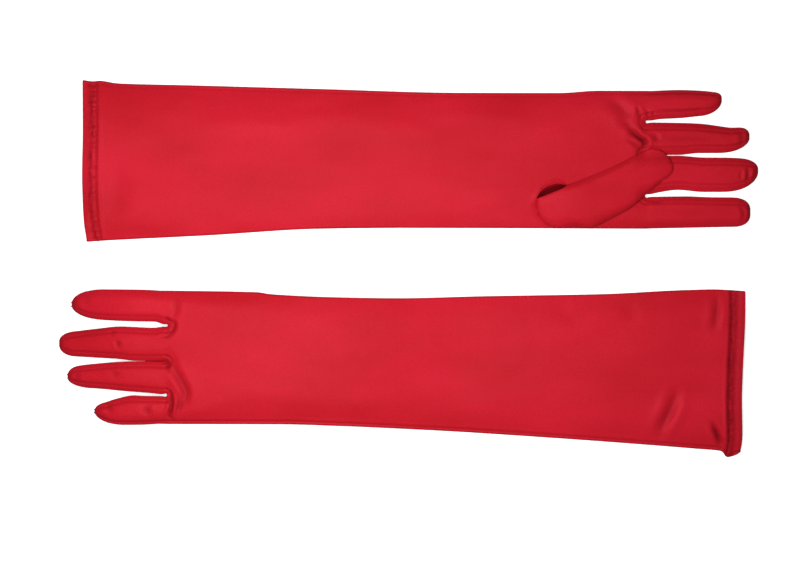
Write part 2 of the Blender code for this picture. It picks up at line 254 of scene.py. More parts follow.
class GlovePlan:
    # answers where the edges and the surfaces of one glove are
    def __init__(self, side):
        glove = gloves[side]
        self.glove = glove
        self.low = curveThrough([(u, v - relief["lowOutset"]) for u, v in glove["low"]])
        self.high = curveThrough([(u, v + relief["highOutset"]) for u, v in glove["high"]])
        self.cuffShape = curveThrough(glove["cuffShape"])
        self.crown = curveThrough(relief["crown"])
        self.sideReach = curveThrough(relief["sideReach"])
        self.fingerEdges = {}
        for name, spec in glove["fingers"].items():
            self.fingerEdges[name] = (self.fingerEdge(spec, "low"), self.fingerEdge(spec, "high"))

    def fingerEdge(self, spec, key):
        outset = relief["highOutset"] if key == "high" else -relief["lowOutset"]
        growth = [0.8 + 0.35 * smoothStep((u - 14) / 20) for u, v in spec[key]]
        line = curveThrough([(u, v + outset * grown) for (u, v), grown in zip(spec[key], growth)])
        tipU, tipV = spec["tip"]
        start, power = spec[key + "Round"]

        def at(u):
            x = np.clip((u - start) / (tipU - start), 0, 1)
            return tipV + (line(u) - tipV) * (1 - x**power) ** (1 / power)

        return at

    def edgeRadius(self, u):
        sleeve, finger = relief["edgeRadius"], relief["fingerEdge"]
        return sleeve + (finger - sleeve) * smoothStep((u + 25) / 30)

    def lift(self, u):
        # the left hand climbs on to its folded thumb, and its fingertips come down again
        rise = smoothStep((u + 200) / 105)
        fall = 1 - smoothStep((u - 24) / 60)
        return self.glove["lift"] * rise * fall

    def rounded(self, distance, reach, radius):
        x = np.clip((distance - radius) / reach, 0, 1)
        return 1 - (1 - x) ** 2

    def topHeight(self, u, distances):
        # distances holds (distance from an edge, how far that edge's rounding reaches)
        radius = self.edgeRadius(u)
        full = 1.0
        for distance, reach in distances:
            full *= self.rounded(distance, reach, radius)
        return self.lift(u) + 2 * radius + (self.crown(u) - 2 * radius) * full

    def crotchDistances(self, u, v):
        found = []
        for webU, webV, webRadius in self.glove["webs"]:
            away = math.hypot(min(u - webU - webRadius, 0.0), v - webV) - webRadius
            found.append((away, relief["crotchReach"]))
        return found


class ClothMesh:
    # collects points and labelled quads
    def __init__(self):
        self.points = []
        self.faces = []
        self.labels = []
        self.cuffRings = []  # the rows round the cuff, for the hem's turned-in cloth

    def add(self, u, v, w):
        self.points.append((float(u), float(v), float(w)))
        return len(self.points) - 1

    def strip(self, first, second, labels):
        # quads between two rows of points; labels holds one name, or one for each quad
        for i in range(len(first) - 1):
            quad = dict.fromkeys((first[i], second[i], second[i + 1], first[i + 1]))
            self.faces.append(tuple(quad))
            self.labels.append(labels if isinstance(labels, str) else labels[i])


def edgeStrip(mesh, plan, u, edge, inward, reach, first, last, squeeze=1.0):
    # points round one edge of the cloth, between a top seam point and a bottom seam point
    radius = plan.edgeRadius(u) * squeeze
    base = plan.lift(u)
    firstPoint, lastPoint = mesh.points[first], mesh.points[last]
    halfReach = radius + (reach - radius) * 0.5
    topMid = (firstPoint[2] + base + 2 * radius) / 2
    stations = [(halfReach, topMid + 0.12 * (firstPoint[2] - base - 2 * radius))]
    for turn in (90, 45, 0, -45, -90):
        angle = math.radians(turn)
        stations.append((radius * (1 - math.cos(angle)), base + radius * (1 + math.sin(angle))))
    stations.append((halfReach, (base + lastPoint[2]) / 2))
    row = [first]
    for distance, height in stations:
        row.append(mesh.add(edge[0] + inward[0] * distance, edge[1] + inward[1] * distance, height))
    row.append(last)
    return row


def sleeveStations(glove):
    hemRows = glove["cuff"] + hem["row"] * np.arange(hem["rows"])
    sleeveRows = np.arange(hemRows[-1] + grid["afterHem"], grid["palmStart"], grid["row"])
    palmRows = np.linspace(sleeveRows[-1] + grid["beforePalm"], faceStart, grid["palmRows"])
    return np.concatenate([hemRows, sleeveRows, palmRows])


def crotchRow(glove, plan):
    # the seam line along the fingers' roots: straight over a finger, round over a crotch
    reach = glove["seamReach"]
    points = []
    webs = glove["webs"]
    for i in range(len(fingerNames)):
        if i == 0:
            startU, startV = webs[0][0] + webs[0][2], plan.low(faceStart) + sideSeam
        else:
            webU, webV, webRadius = webs[i - 1]
            startU, startV = webU + webRadius, webV + webRadius + reach
        if i == 3:
            endU, endV = webs[2][0] + webs[2][2], plan.high(faceStart) - sideSeam
        else:
            webU, webV, webRadius = webs[i]
            endU, endV = webU + webRadius, webV - webRadius - reach
        for c in range(grid["face"] + (i == 3)):
            share = c / grid["face"]
            points.append((startU + share * (endU - startU), startV + share * (endV - startV)))
        if i < 3:
            webU, webV, webRadius = webs[i]
            for j in range(grid["web"]):
                angle = math.pi * j / grid["web"]
                size = webRadius + reach
                points.append((webU + webRadius - size * math.sin(angle), webV - size * math.cos(angle)))
    return points


def layGlove(side):
    glove = gloves[side]
    plan = GlovePlan(side)
    mesh = ClothMesh()
    reach = glove["seamReach"]
    topPanel, bottomPanel = ("palm", "back") if glove["palmUp"] else ("back", "palm")
    lastRow = crotchRow(glove, plan)
    lastLow, lastHigh = lastRow[0][1], lastRow[-1][1]
    shares = [(v - lastLow) / (lastHigh - lastLow) for u, v in lastRow]
    tops, bottoms, lows, highs = [], [], [], []
    stations = sleeveStations(glove)
    for row, station in enumerate(stations):
        final = row == len(stations) - 1
        towards = float(smoothStep((station + 30) / 33))
        cuffFade = float(1 - smoothStep((station - glove["cuff"]) / 16))
        top, bottom = [], []
        lowEdge, highEdge = float(plan.low(station)), float(plan.high(station))
        places = []
        for column, share in enumerate(shares):
            v = lowEdge + sideSeam + share * (highEdge - lowEdge - 2 * sideSeam)
            u = station + towards * (lastRow[column][0] - faceStart)
            if final:
                u, v = lastRow[column]
            u += cuffFade * float(plan.cuffShape(v))
            places.append((u, v))
        for u, v in places:
            sides = [(v - lowEdge, float(plan.sideReach(u))), (highEdge - v, float(plan.sideReach(u)))]
            distances = sides + (plan.crotchDistances(u, v) if station > -40 else [])
            top.append(mesh.add(u, v, plan.topHeight(u, distances)))
            bottom.append(mesh.add(u, v, plan.lift(u)))
        tops.append(top)
        bottoms.append(bottom)
        lowU, highU = places[0][0], places[-1][0]
        lows.append(edgeStrip(mesh, plan, lowU, (lowU, lowEdge), (0, 1), sideSeam, top[0], bottom[0]))
        highs.append(edgeStrip(mesh, plan, highU, (highU, highEdge), (0, -1), sideSeam, top[-1], bottom[-1]))
    for row in range(hem["turnedRows"]):
        ring = lows[row][::-1] + tops[row][1:] + highs[row][1:] + bottoms[row][-2:0:-1]
        mesh.cuffRings.append(ring)
    half = grid["strip"] // 2
    foldLabels = [topPanel] * half + [bottomPanel] * half
    for row in range(len(tops) - 1):
        mesh.strip(tops[row], tops[row + 1], topPanel)
        mesh.strip(bottoms[row][::-1], bottoms[row + 1][::-1], bottomPanel)
        mesh.strip(highs[row], highs[row + 1], bottomPanel)
        mesh.strip(lows[row][::-1], lows[row + 1][::-1], foldLabels[::-1])
    webRows = []
    span = grid["face"] + grid["web"]
    for i, (webU, webV, webRadius) in enumerate(glove["webs"]):
        rows = []
        start = i * span + grid["face"]
        for j in range(grid["web"] + 1):
            angle = math.pi * j / grid["web"]
            outward = (-math.sin(angle), -math.cos(angle))
            edge = (webU + webRadius + webRadius * outward[0], webV + webRadius * outward[1])
            first, last = tops[-1][start + j], bottoms[-1][start + j]
            rows.append(edgeStrip(mesh, plan, edge[0], edge, outward, reach, first, last))
        name = f"fourchette_{fingerNames[i]}_{fingerNames[i + 1]}"
        for j in range(grid["web"]):
            mesh.strip(rows[j][::-1], rows[j + 1][::-1], name)
        webRows.append(rows)
    for i, name in enumerate(fingerNames):
        layFinger(mesh, plan, glove, i, name, tops[-1], bottoms[-1], lows[-1], highs[-1], webRows)
    return mesh, plan


def layFinger(mesh, plan, glove, i, name, topRow, bottomRow, lowRow, highRow, webRows):
    spec = glove["fingers"][name]
    lowEdge, highEdge = plan.fingerEdges[name]
    tipU = spec["tip"][0]
    start = i * (grid["face"] + grid["web"])
    top, bottom = topRow[start : start + grid["face"] + 1], bottomRow[start : start + grid["face"] + 1]
    low = lowRow if i == 0 else webRows[i - 1][-1]
    high = highRow if i == 3 else webRows[i][0]
    baseUs = [mesh.points[index][0] for index in top]
    lowReach = sideSeam if i == 0 else glove["seamReach"]
    highReach = sideSeam if i == 3 else glove["seamReach"]
    topFace, bottomFace = ("palm", "back") if glove["palmUp"] else ("back", "palm")
    rounding = relief["tipReach"]
    straight = np.arange(grid["fingerRow"], tipU - rounding - faceStart, grid["fingerRow"])
    stations = np.concatenate([straight + faceStart, tipU - rounding * (1 - np.sin(tipTurns))])
    cut = glove["bends"][name] - 10.0  # the finger's pieces part a little before its joint
    half = grid["strip"] // 2
    for row, station in enumerate(stations):
        slant = float(1 - smoothStep((station - faceStart) / 16))
        ending = np.clip((station - tipU + rounding) / rounding, 0, 1)
        squeeze = thinning(ending)
        lowV, highV = float(lowEdge(station)), float(highEdge(station))
        width = highV - lowV
        lowSeam = min(lowReach, 0.24 * width) * (0.25 + 0.75 * squeeze)
        highSeam = min(highReach, 0.24 * width) * (0.25 + 0.75 * squeeze)
        newTop, newBottom = [], []
        for c in range(grid["face"] + 1):
            share = c / grid["face"]
            v = lowV + lowSeam + share * (width - lowSeam - highSeam)
            u = station + slant * (baseUs[c] - faceStart)
            away = [(v - lowV, relief["fingerReach"]), (highV - v, relief["fingerReach"])]
            base = float(plan.lift(u))
            height = base + (plan.topHeight(u, away) - base) * squeeze
            newTop.append(mesh.add(u, v, height))
            newBottom.append(mesh.add(u, v, base))
        lowU, highU = mesh.points[newTop[0]][0], mesh.points[newTop[-1]][0]
        newLow = edgeStrip(mesh, plan, lowU, (lowU, lowV), (0, 1), lowSeam, newTop[0], newBottom[0], squeeze)
        newHigh = edgeStrip(
            mesh, plan, highU, (highU, highV), (0, -1), highSeam, newTop[-1], newBottom[-1], squeeze
        )
        middle = (baseUs[0] + baseUs[-1]) / 2 if row == 0 else stations[row - 1]
        ended = middle >= cut
        prefix = f"{name}_end_" if ended else ""
        fold = [prefix + topFace] * half + [prefix + bottomFace] * half
        lowLabel = fold if i == 0 else f"{name}_end_fourchette_thumb_side"
        highLabel = prefix + bottomFace if i == 3 else f"{name}_end_fourchette_little_side"
        if not ended and i > 0:
            lowLabel = f"fourchette_{fingerNames[i - 1]}_{name}"
        if not ended and i < 3:
            highLabel = f"fourchette_{name}_{fingerNames[i + 1]}"
        mesh.strip(top, newTop, prefix + topFace)
        mesh.strip(bottom[::-1], newBottom[::-1], prefix + bottomFace)
        mesh.strip(high, newHigh, highLabel)
        mesh.strip(low[::-1], newLow[::-1], lowLabel[::-1] if i == 0 else lowLabel)
        top, bottom, low, high = newTop, newBottom, newLow, newHigh
    # the tip is sewn shut along the middle of its last row
    mesh.strip(top, bottom, f"{name}_end_{topFace}")
    mesh.strip(low[: half - 1 : -1], low[: half + 1], f"{name}_end_{topFace}")
    mesh.strip(high[: half + 1], high[: half - 1 : -1], f"{name}_end_{topFace}")


# The creases of each glove's upper face, each along points (u, v), with its width and depth
creases = {
    "right": [
        {"path": [(-6.3, 19.8), (-0.6, 14.6), (2.3, 12.3), (0.7, 7.0)], "width": 1.7, "depth": 1.7},
        {"path": [(-7.0, 13.5), (-2.2, 9.2), (-1.0, 4.5)], "width": 1.6, "depth": 0.7},
        {"path": [(-2.6, 35.2), (-1.6, 31.0), (-0.4, 28.3)], "width": 1.1, "depth": 0.9},
        {"path": [(3.5, 33.2), (4.8, 29.5), (5.6, 26.8)], "width": 0.9, "depth": 0.7},
        {"path": [(7.4, 32.0), (8.0, 28.6)], "width": 0.9, "depth": 0.6},
        {"path": [(8.5, 17.0), (11.5, 13.0)], "width": 1.8, "depth": 0.6},
        {"path": [(-22.0, 41.0), (-14.0, 35.5), (-8.0, 28.0)], "width": 4.0, "depth": 0.9},
        {"path": [(-12.0, 26.0), (-7.0, 21.0), (-5.5, 15.0)], "width": 2.6, "depth": 0.6},
        {"path": [(66.0, -12.6), (66.6, -8.0)], "width": 1.0, "depth": 0.5},
        {"path": [(70.6, -14.0), (71.4, -9.0), (71.0, -4.5)], "width": 1.3, "depth": 0.8},
        {"path": [(67.0, -41.0), (68.4, -36.0), (66.0, -30.5)], "width": 1.3, "depth": 0.5},
        {"path": [(64.8, 20.2), (67.4, 15.0), (66.2, 10.5)], "width": 1.5, "depth": 0.5},
        {"path": [(13.0, 33.3), (28.0, 33.2), (40.0, 34.0)], "width": 1.2, "depth": 0.45},
        {"path": [(3.5, -26.4), (9.0, -27.4), (15.0, -26.8)], "width": 1.0, "depth": 0.6},
        {"path": [(16.0, 14.5), (34.0, 15.5), (50.0, 13.5)], "width": 2.4, "depth": 0.3},
        {"path": [(14.0, -33.0), (36.0, -35.0), (58.0, -33.5)], "width": 3.0, "depth": 0.25},
        {"path": [(-364.0, -46.0), (-352.0, -30.0), (-350.0, 0.0)], "width": 7.0, "depth": 0.35},
    ],
    "left": [
        {"path": [(5.2, -25.8), (3.6, -24.8), (3.0, -22.4)], "width": 0.9, "depth": 0.8},
        {"path": [(1.5, -24.5), (-0.6, -21.8), (0.8, -17.2), (4.8, -14.9)], "width": 1.2, "depth": 1.0},
        {"path": [(1.2, -14.6), (4.5, -13.6), (9.0, -13.8)], "width": 1.0, "depth": 0.5},
        {"path": [(7.0, 2.5), (4.0, 4.6), (3.6, 8.8)], "width": 1.1, "depth": 1.0},
        {"path": [(1.8, 4.8), (-4.8, 16.2), (-8.1, 23.5), (-5.7, 32.9)], "width": 2.6, "depth": 1.0},
        {"path": [(2.7, 23.5), (1.2, 31.2), (2.7, 38.6), (0.8, 42.2)], "width": 1.2, "depth": 1.5},
        {"path": [(-2.6, 26.0), (-3.6, 31.0), (-2.2, 37.0)], "width": 1.6, "depth": 0.6},
        {"path": [(38.0, -10.0), (36.4, -7.4)], "width": 1.5, "depth": 0.8},
        {"path": [(42.0, 10.0), (37.0, 12.6)], "width": 2.2, "depth": 0.4},
        {"path": [(19.0, 33.0), (17.0, 38.5)], "width": 2.2, "depth": 0.6},
        {"path": [(45.0, 31.5), (42.0, 36.5)], "width": 2.2, "depth": 0.6},
        {"path": [(41.5, -17.5), (40.5, -14.5)], "width": 1.6, "depth": 0.5},
        {"path": [(60.5, -40.0), (58.5, -35.0)], "width": 3.0, "depth": 0.4},
        {"path": [(65.0, 10.5), (65.5, 16.5)], "width": 1.8, "depth": 0.4},
        {"path": [(-1.0, -41.0), (-1.2, -32.0), (0.6, -26.0)], "width": 2.2, "depth": 0.4},
        {"path": [(-362.2, -40.0), (-361.6, -30.0), (-359.6, -19.0)], "width": 2.6, "depth": 0.9},
        {
            "path": [(-334.3, 25.1), (-330.7, 35.8), (-326.5, 44.5), (-324.0, 50.5)],
            "width": 3.4, "depth": 1.5,
        },
        {"path": [(-359.0, 45.0), (-361.8, 51.5), (-365.0, 59.0)], "width": 1.8, "depth": 1.5},
        {"path": [(-256.0, -30.0), (-266.0, -26.0), (-276.0, -32.0)], "width": 6.0, "depth": 0.35},
        {"path": [(-306.0, -36.0), (-303.0, -24.0)], "width": 5.0, "depth": 0.35},
    ],
}

# Seams and hem, as they press into the cloth
creaseStrength = 1.5
seamRelief = {"width": 0.65, "depth": 0.45, "ridge": 0.18, "puckerPitch": 2.6, "pucker": 0.14}
hem = {
    "width": 8.4,
    "row": 1.4,
    "rows": 13,
    "turnedRows": 7,
    "groove": 0.9,
    "grooveWidth": 1.1,
    "ridge": 0.45,
    "puckerPitch": 3.4,
    "pucker": 0.38,
    "dip": 0.7,
}

# How much shade is painted into the cloth's colour deep in its creases and seams, at its edges and
# along its hem's gathered band: a crease wider than "sharp" gets less painted shade
shade = {
    "crease": 0.5,
    "creaseWidth": 0.8,
    "sharp": 2.0,
    "edge": 0.5,
    "seam": 0.17,
    "band": {
        "right": {"middle": 5.6, "width": 2.6, "strength": 0.36, "whole": 0.0},
        "left": {"middle": 8.0, "width": 1.9, "strength": 0.28, "whole": 0.2},
    },
    "sleeveSeam": {"right": 0.35, "left": 0.9},
}


def subdivided(name, points, faces, labels):
    # one round of subdivision; each quad's label goes to its four smaller quads
    names = sorted(set(labels))
    meshData = bpy.data.meshes.new(name)
    meshData.from_pydata([tuple(p) for p in points], [], faces)
    attribute = meshData.attributes.new("piece", "INT", "FACE")
    attribute.data.foreach_set("value", [names.index(label) for label in labels])
    rounded = bpy.data.objects.new(name, meshData)
    bpy.context.scene.collection.objects.link(rounded)
    subdivision = rounded.modifiers.new("Smooth", "SUBSURF")
    subdivision.levels = subdivision.render_levels = 1
    subdivision.boundary_smooth = "PRESERVE_CORNERS"
    bpy.context.view_layer.update()
    result = bpy.data.meshes.new_from_object(rounded.evaluated_get(bpy.context.evaluated_depsgraph_get()))
    bpy.data.objects.remove(rounded)
    count = len(result.vertices)
    smooth = np.empty(count * 3)
    result.vertices.foreach_get("co", smooth)
    quads = np.empty(len(result.loops), int)
    result.loops.foreach_get("vertex_index", quads)
    found = np.empty(len(result.polygons), int)
    result.attributes["piece"].data.foreach_get("value", found)
    bpy.data.meshes.remove(result)
    return smooth.reshape(-1, 3), quads.reshape(-1, 4), found, names


def holeOutline(plan):
    # the palm's hole, as radius against direction round the thumb's pivot: it follows the seam, runs
    # out under the pocket, and ends in a straight front edge under the thumb
    inset = thumb["holeInset"]
    points = [(t, max(s, -11.5)) for t, s in plan.seam(inset)]
    points += thumb["holeCorner"] + [(thumb["holeFront"], s) for s in np.linspace(-11.0, 5.5, 8)]
    directions = np.array([math.atan2(s, t) for t, s in points])
    sizes = np.array([math.hypot(t, s) for t, s in points])
    order = np.argsort(directions)
    return directions[order], sizes[order]


def cutThumbHole(side, plan, points, quads, found, palmNumber):
    # takes out the palm's quads inside the hole and pulls the hole's edge on to its outline
    directions, sizes = holeOutline(plan)
    t, s = plan.fromGlove(points[:, 0], points[:, 1])
    reach = np.hypot(t, s)
    limit = np.interp(np.arctan2(s, t), directions, sizes, period=2 * math.pi)
    normals = pointNormals(points, quads)
    facing = normals[:, 2] > 0.2 if plan.palmUp else normals[:, 2] < -0.2
    inside = (reach < limit) & facing
    gone = (inside[quads].sum(axis=1) >= 3) & (found == palmNumber)
    edge = np.intersect1d(quads[gone], quads[~gone])
    scale = limit[edge] / np.maximum(reach[edge], 1e-6)
    u0, v0 = thumb["pivot"][side]
    points[edge, 0] = u0 + (points[edge, 0] - u0) * scale
    points[edge, 1] = v0 + (points[edge, 1] - v0) * scale
    return quads[~gone], found[~gone]


def pointNormals(points, quads):
    corners = points[quads]
    faceNormals = np.cross(corners[:, 2] - corners[:, 0], corners[:, 3] - corners[:, 1])
    normals = np.zeros_like(points)
    for corner in range(4):
        np.add.at(normals, quads[:, corner], faceNormals)
    return normals / np.maximum(np.linalg.norm(normals, axis=1, keepdims=True), 1e-12)


def distanceToPath(places, path):
    # the distance from each place to a path of straight steps, and how far along the path it is
    path = np.array(path, float)
    steps = np.diff(path, axis=0)
    lengths = np.linalg.norm(steps, axis=1)
    reached = np.concatenate([[0], np.cumsum(lengths)])
    best = np.full(len(places), 1e9)
    along = np.zeros(len(places))
    for i, step in enumerate(steps):
        t = np.clip(((places - path[i]) @ step) / lengths[i] ** 2, 0, 1)
        gap = np.linalg.norm(places - path[i] - t[:, None] * step, axis=1)
        closer = gap < best
        best[closer] = gap[closer]
        along[closer] = (reached[i] + t * lengths[i])[closer] / reached[-1]
    return best, along


def smoothPath(points, count=24):
    # a curve through given points
    points = np.array(points, float)
    if len(points) < 3:
        return points
    reached = np.concatenate([[0], np.cumsum(np.linalg.norm(np.diff(points, axis=0), axis=1))])
    stations = np.linspace(0, reached[-1], count)
    lines = [curveThrough(list(zip(reached, points[:, axis]))) for axis in (0, 1)]
    return np.stack([line(stations) for line in lines], axis=1)


def creaseHeight(places, crease):
    # the crease's height, and the shade painted into its valley
    gap, along = distanceToPath(places, smoothPath(crease["path"]))
    fade = np.sin(np.clip(along, 0.0, 1.0) * math.pi * 0.9 + 0.157) ** 0.7
    width = crease["width"]
    valley = np.exp(-((gap / width) ** 2))
    shoulder = np.exp(-(((gap - 2.0 * width) / width) ** 2))
    height = crease["depth"] * creaseStrength * fade * (0.35 * shoulder - valley)
    dark = np.exp(-((gap / (shade["creaseWidth"] * width)) ** 2)) * fade
    return height, shade["crease"] * crease["depth"] * min(1.0, shade["sharp"] / width) ** 1.5 * dark


def seamLines(side, plan):
    # the seams on the upper face, as lists of (u, v); the sleeve's comes last
    glove = gloves[side]
    lines = []
    reach = glove["seamReach"]
    row = crotchRow(glove, plan)
    span = grid["face"] + grid["web"]
    for i, name in enumerate(fingerNames):
        lowEdge, highEdge = plan.fingerEdges[name]
        tipU = glove["fingers"][name]["tip"][0]
        stations = np.linspace(4.0, tipU - 4.0, 40)
        width = highEdge(stations) - lowEdge(stations)
        seam = np.minimum(reach, 0.24 * width)
        if i > 0:
            lines.append(np.stack([stations, lowEdge(stations) + seam], axis=1))
        if i < 3:
            lines.append(np.stack([stations, highEdge(stations) - seam], axis=1))
            start = i * span + grid["face"]
            lines.append(np.array(row[start : start + grid["web"] + 1]))
    little = plan.fingerEdges["little"][1]
    stations = np.linspace(faceStart, glove["fingers"]["little"]["tip"][0] - 4.0, 30)
    lines.append(np.stack([stations, little(stations) - sideSeam], axis=1))
    sleeve = np.linspace(glove["cuff"] + 1.0, faceStart, 150)
    lines.append(np.stack([sleeve, plan.high(sleeve) - sideSeam], axis=1))
    return lines


def noiseField(points, size, seed):
    along, across = size
    spots = [Vector((p[0] / along, p[1] / across, seed + p[2] / 40.0)) for p in points]
    return np.array([noise.noise(spot) for spot in spots])


def thumbSeamHeight(side, places):
    # the palm dips along the thumb's seam and stands up a little round its pocket
    if side == "left":
        return 0
    thumbPlan = ThumbPlan(side)
    line = np.array([thumbPlan.inGlove(t, s) for t, s in thumbPlan.seam(0.0)])
    gap = distanceToPath(places, line)[0]
    t, s = thumbPlan.fromGlove(places[:, 0], places[:, 1])
    byPocket = smoothStep((s - 6) / 4)
    groove = np.exp(-(((gap - 0.3) / 0.8) ** 2)) * (1 - byPocket)
    rim = np.exp(-(((gap - 0.9) / 0.8) ** 2)) * byPocket * smoothStep((13 - t) / 3)
    return 0.7 * rim - 0.9 * groove


def placesNear(places, path, reach):
    # the numbers of the places that lie in a path's box, let out by reach
    low, high = np.min(path, axis=0) - reach, np.max(path, axis=0) + reach
    return np.where(((places > low) & (places < high)).all(axis=1))[0]


def pressDetails(side, plan, points, normals):
    # presses seams, hem, creases and the cloth's unevenness into the smoothed glove, and works out the shade
    # painted into its colour there and at its edges
    glove = gloves[side]
    upward = np.clip(normals[:, 2], 0, 1)
    downward = np.clip(-normals[:, 2], 0, 1)
    places = points[:, :2]
    height = np.zeros(len(points))
    dark = np.zeros(len(points))
    lines = seamLines(side, plan)
    for line in lines:
        near = placesNear(places, line, 6.0)
        gap, along = distanceToPath(places[near], line)
        width = seamRelief["width"]
        groove = np.exp(-((gap / width) ** 2))
        shoulder = np.exp(-(((gap - 2.1 * width) / (1.2 * width)) ** 2))
        length = np.linalg.norm(np.diff(line, axis=0), axis=1).sum()
        wave = np.sin(along * length * 2 * math.pi / seamRelief["puckerPitch"])
        pucker = seamRelief["pucker"] * wave * np.exp(-((gap / (3.0 * width)) ** 2))
        weight = shade["sleeveSeam"][side] if line is lines[-1] else 1.0
        height[near] += weight * (seamRelief["ridge"] * shoulder - seamRelief["depth"] * groove + pucker)
        # painted shade in the seam's groove
        dark[near] += weight * shade["seam"] * groove
    for crease in creases[side]:
        near = placesNear(places, crease["path"], crease["width"] * 4 + 2)
        creased, creaseDark = creaseHeight(places[near], crease)
        height[near] += creased
        dark[near] += creaseDark
    height += thumbSeamHeight(side, places)
    fromCuff = places[:, 0] - glove["cuff"] - plan.cuffShape(places[:, 1])
    hemGap = fromCuff - hem["width"]
    hemWave = np.sin(places[:, 1] * 2 * math.pi / hem["puckerPitch"] + np.sin(places[:, 1] * 0.7))
    hemHeight = -hem["groove"] * np.exp(-((hemGap / hem["grooveWidth"]) ** 2))
    hemHeight += hem["ridge"] * np.exp(-(((hemGap - 2.6) / 1.4) ** 2))
    hemHeight -= hem["dip"] * np.exp(-(((fromCuff - 4.6) / 2.2) ** 2))
    hemHeight += hem["pucker"] * hemWave * np.exp(-(((hemGap + 1.2) / 3.0) ** 2))
    height += hemHeight
    # painted shade, mottled, along the hem's gathered band, and over the whole band on the left glove
    band = shade["band"][side]
    mottle = noiseField(points, (1.6, 3.2), 51.0) + 0.7 * noiseField(points, (3.0, 9.0), 57.0)
    inBand = np.exp(-(((fromCuff - band["middle"]) / band["width"]) ** 2))
    dark += band["strength"] * inBand * (0.8 + 1.1 * mottle)
    dark += band["whole"] * smoothStep((12.5 - fromCuff) / 2.5) * (1.0 + 0.4 * mottle)
    broad = noiseField(points, (46.0, 17.0), 3.0 if side == "right" else 8.0)
    fine = noiseField(points, (15.0, 9.0), 21.0)
    height += 0.55 * broad + 0.16 * fine
    points[:, 2] += height * upward
    points[:, 2] -= (0.3 * hemHeight) * downward
    points[:, 2] = np.maximum(points[:, 2], 0.0)
    # painted shade: the creases' and seams' shade on the upper face, and a dark outline painted where the
    # cloth turns down over its edges
    dark = dark * upward + shade["edge"] * (1 - np.abs(normals[:, 2])) ** 2
    return points, np.clip(dark, 0.0, 0.9)


def meshFrom(name, points, faces, loopNormals, sides):
    data = bpy.data.meshes.new(name)
    data.from_pydata([tuple(p) for p in points], [], [tuple(int(i) for i in face) for face in faces])
    data.polygons.foreach_set("material_index", sides)
    data.polygons.foreach_set("use_smooth", [True] * len(faces))
    data.normals_split_custom_set(loopNormals)
    piece = bpy.data.objects.new(name, data)
    bpy.context.scene.collection.objects.link(piece)
    return piece


def roomInside(points, quads, normals):
    # how far it is from each point straight through to the cloth on the other side
    tree = BVHTree.FromPolygons([tuple(p) for p in points], quads.tolist())
    far = 5 * mm
    starts = points - normals * 0.02 * mm
    room = np.full(len(points), far)
    for i in range(len(points)):
        hit = tree.ray_cast(Vector(starts[i]), Vector(-normals[i]), far)
        if hit[0] is not None:
            room[i] = hit[3]
    return room


def thickCloth(name, points, quads, normals, thickness=clothThickness, room=None, dark=None):
    # gives a sheet its thickness towards its wrong side, with a closed rim; the outside keeps the
    # normals of the whole glove, so that no line shows where two pieces meet
    used, local = np.unique(quads, return_inverse=True)
    quads = local.reshape(quads.shape)
    outer, outerNormals = points[used], normals[used]
    depth = np.full(len(used), thickness * mm)
    if room is not None:
        depth = np.minimum(depth, 0.4 * room[used])
    inner = outer - outerNormals * depth[:, None]
    count = len(used)
    edges = np.concatenate([quads[:, [i, (i + 1) % 4]] for i in range(4)])
    keys = {tuple(edge) for edge in edges.tolist()}
    rim = [(a, b) for a, b in edges.tolist() if (b, a) not in keys]
    faces = quads.tolist()
    loopNormals = [tuple(n) for n in outerNormals[quads.reshape(-1)]]
    for quad in quads[:, ::-1].tolist():
        faces.append([i + count for i in quad])
        loopNormals.extend(tuple(-outerNormals[i]) for i in quad)
    for a, b in rim:
        faces.append([b, a, a + count, b + count])
        flat = np.cross(outer[a] - outer[b], inner[a] - outer[b])
        flat = flat / max(np.linalg.norm(flat), 1e-12)
        loopNormals.extend([tuple(flat)] * 4)
    sides = [0] * len(quads) + [1] * len(quads) + [0] * len(rim)
    piece = meshFrom(name, np.concatenate([outer, inner]), faces, loopNormals, sides)
    # the painted shade goes into the outside's colour only
    painted_shade = np.zeros(2 * count)
    if dark is not None:
        painted_shade[:count] = dark[used]
    piece.data.attributes.new("painted_shade", "FLOAT", "POINT").data.foreach_set("value", painted_shade)
    return piece


def pieceArea(points, quads):
    corners = points[quads]
    diagonals = np.cross(corners[:, 2] - corners[:, 0], corners[:, 3] - corners[:, 1])
    return float(np.linalg.norm(diagonals, axis=1).sum() / 2)


foldedFinger = {"reach": 8.0, "height": 7.0}


def dress(piece, outside, inside):
    piece.data.materials.append(outside)
    piece.data.materials.append(inside)


def finishPiece(piece, node, body, finger=None, side=None):
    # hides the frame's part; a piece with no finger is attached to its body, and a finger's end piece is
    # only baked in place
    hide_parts(node)
    if finger is None:
        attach(piece, body)
        return
    glove = gloves[side]
    bend = glove["bends"][finger]
    top = foldedFinger["height"] + glove["lift"]
    start = spotInWorld(side, bend - foldedFinger["reach"], 0, top)
    end = spotInWorld(side, bend + foldedFinger["reach"], 0, top)
    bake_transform(piece)


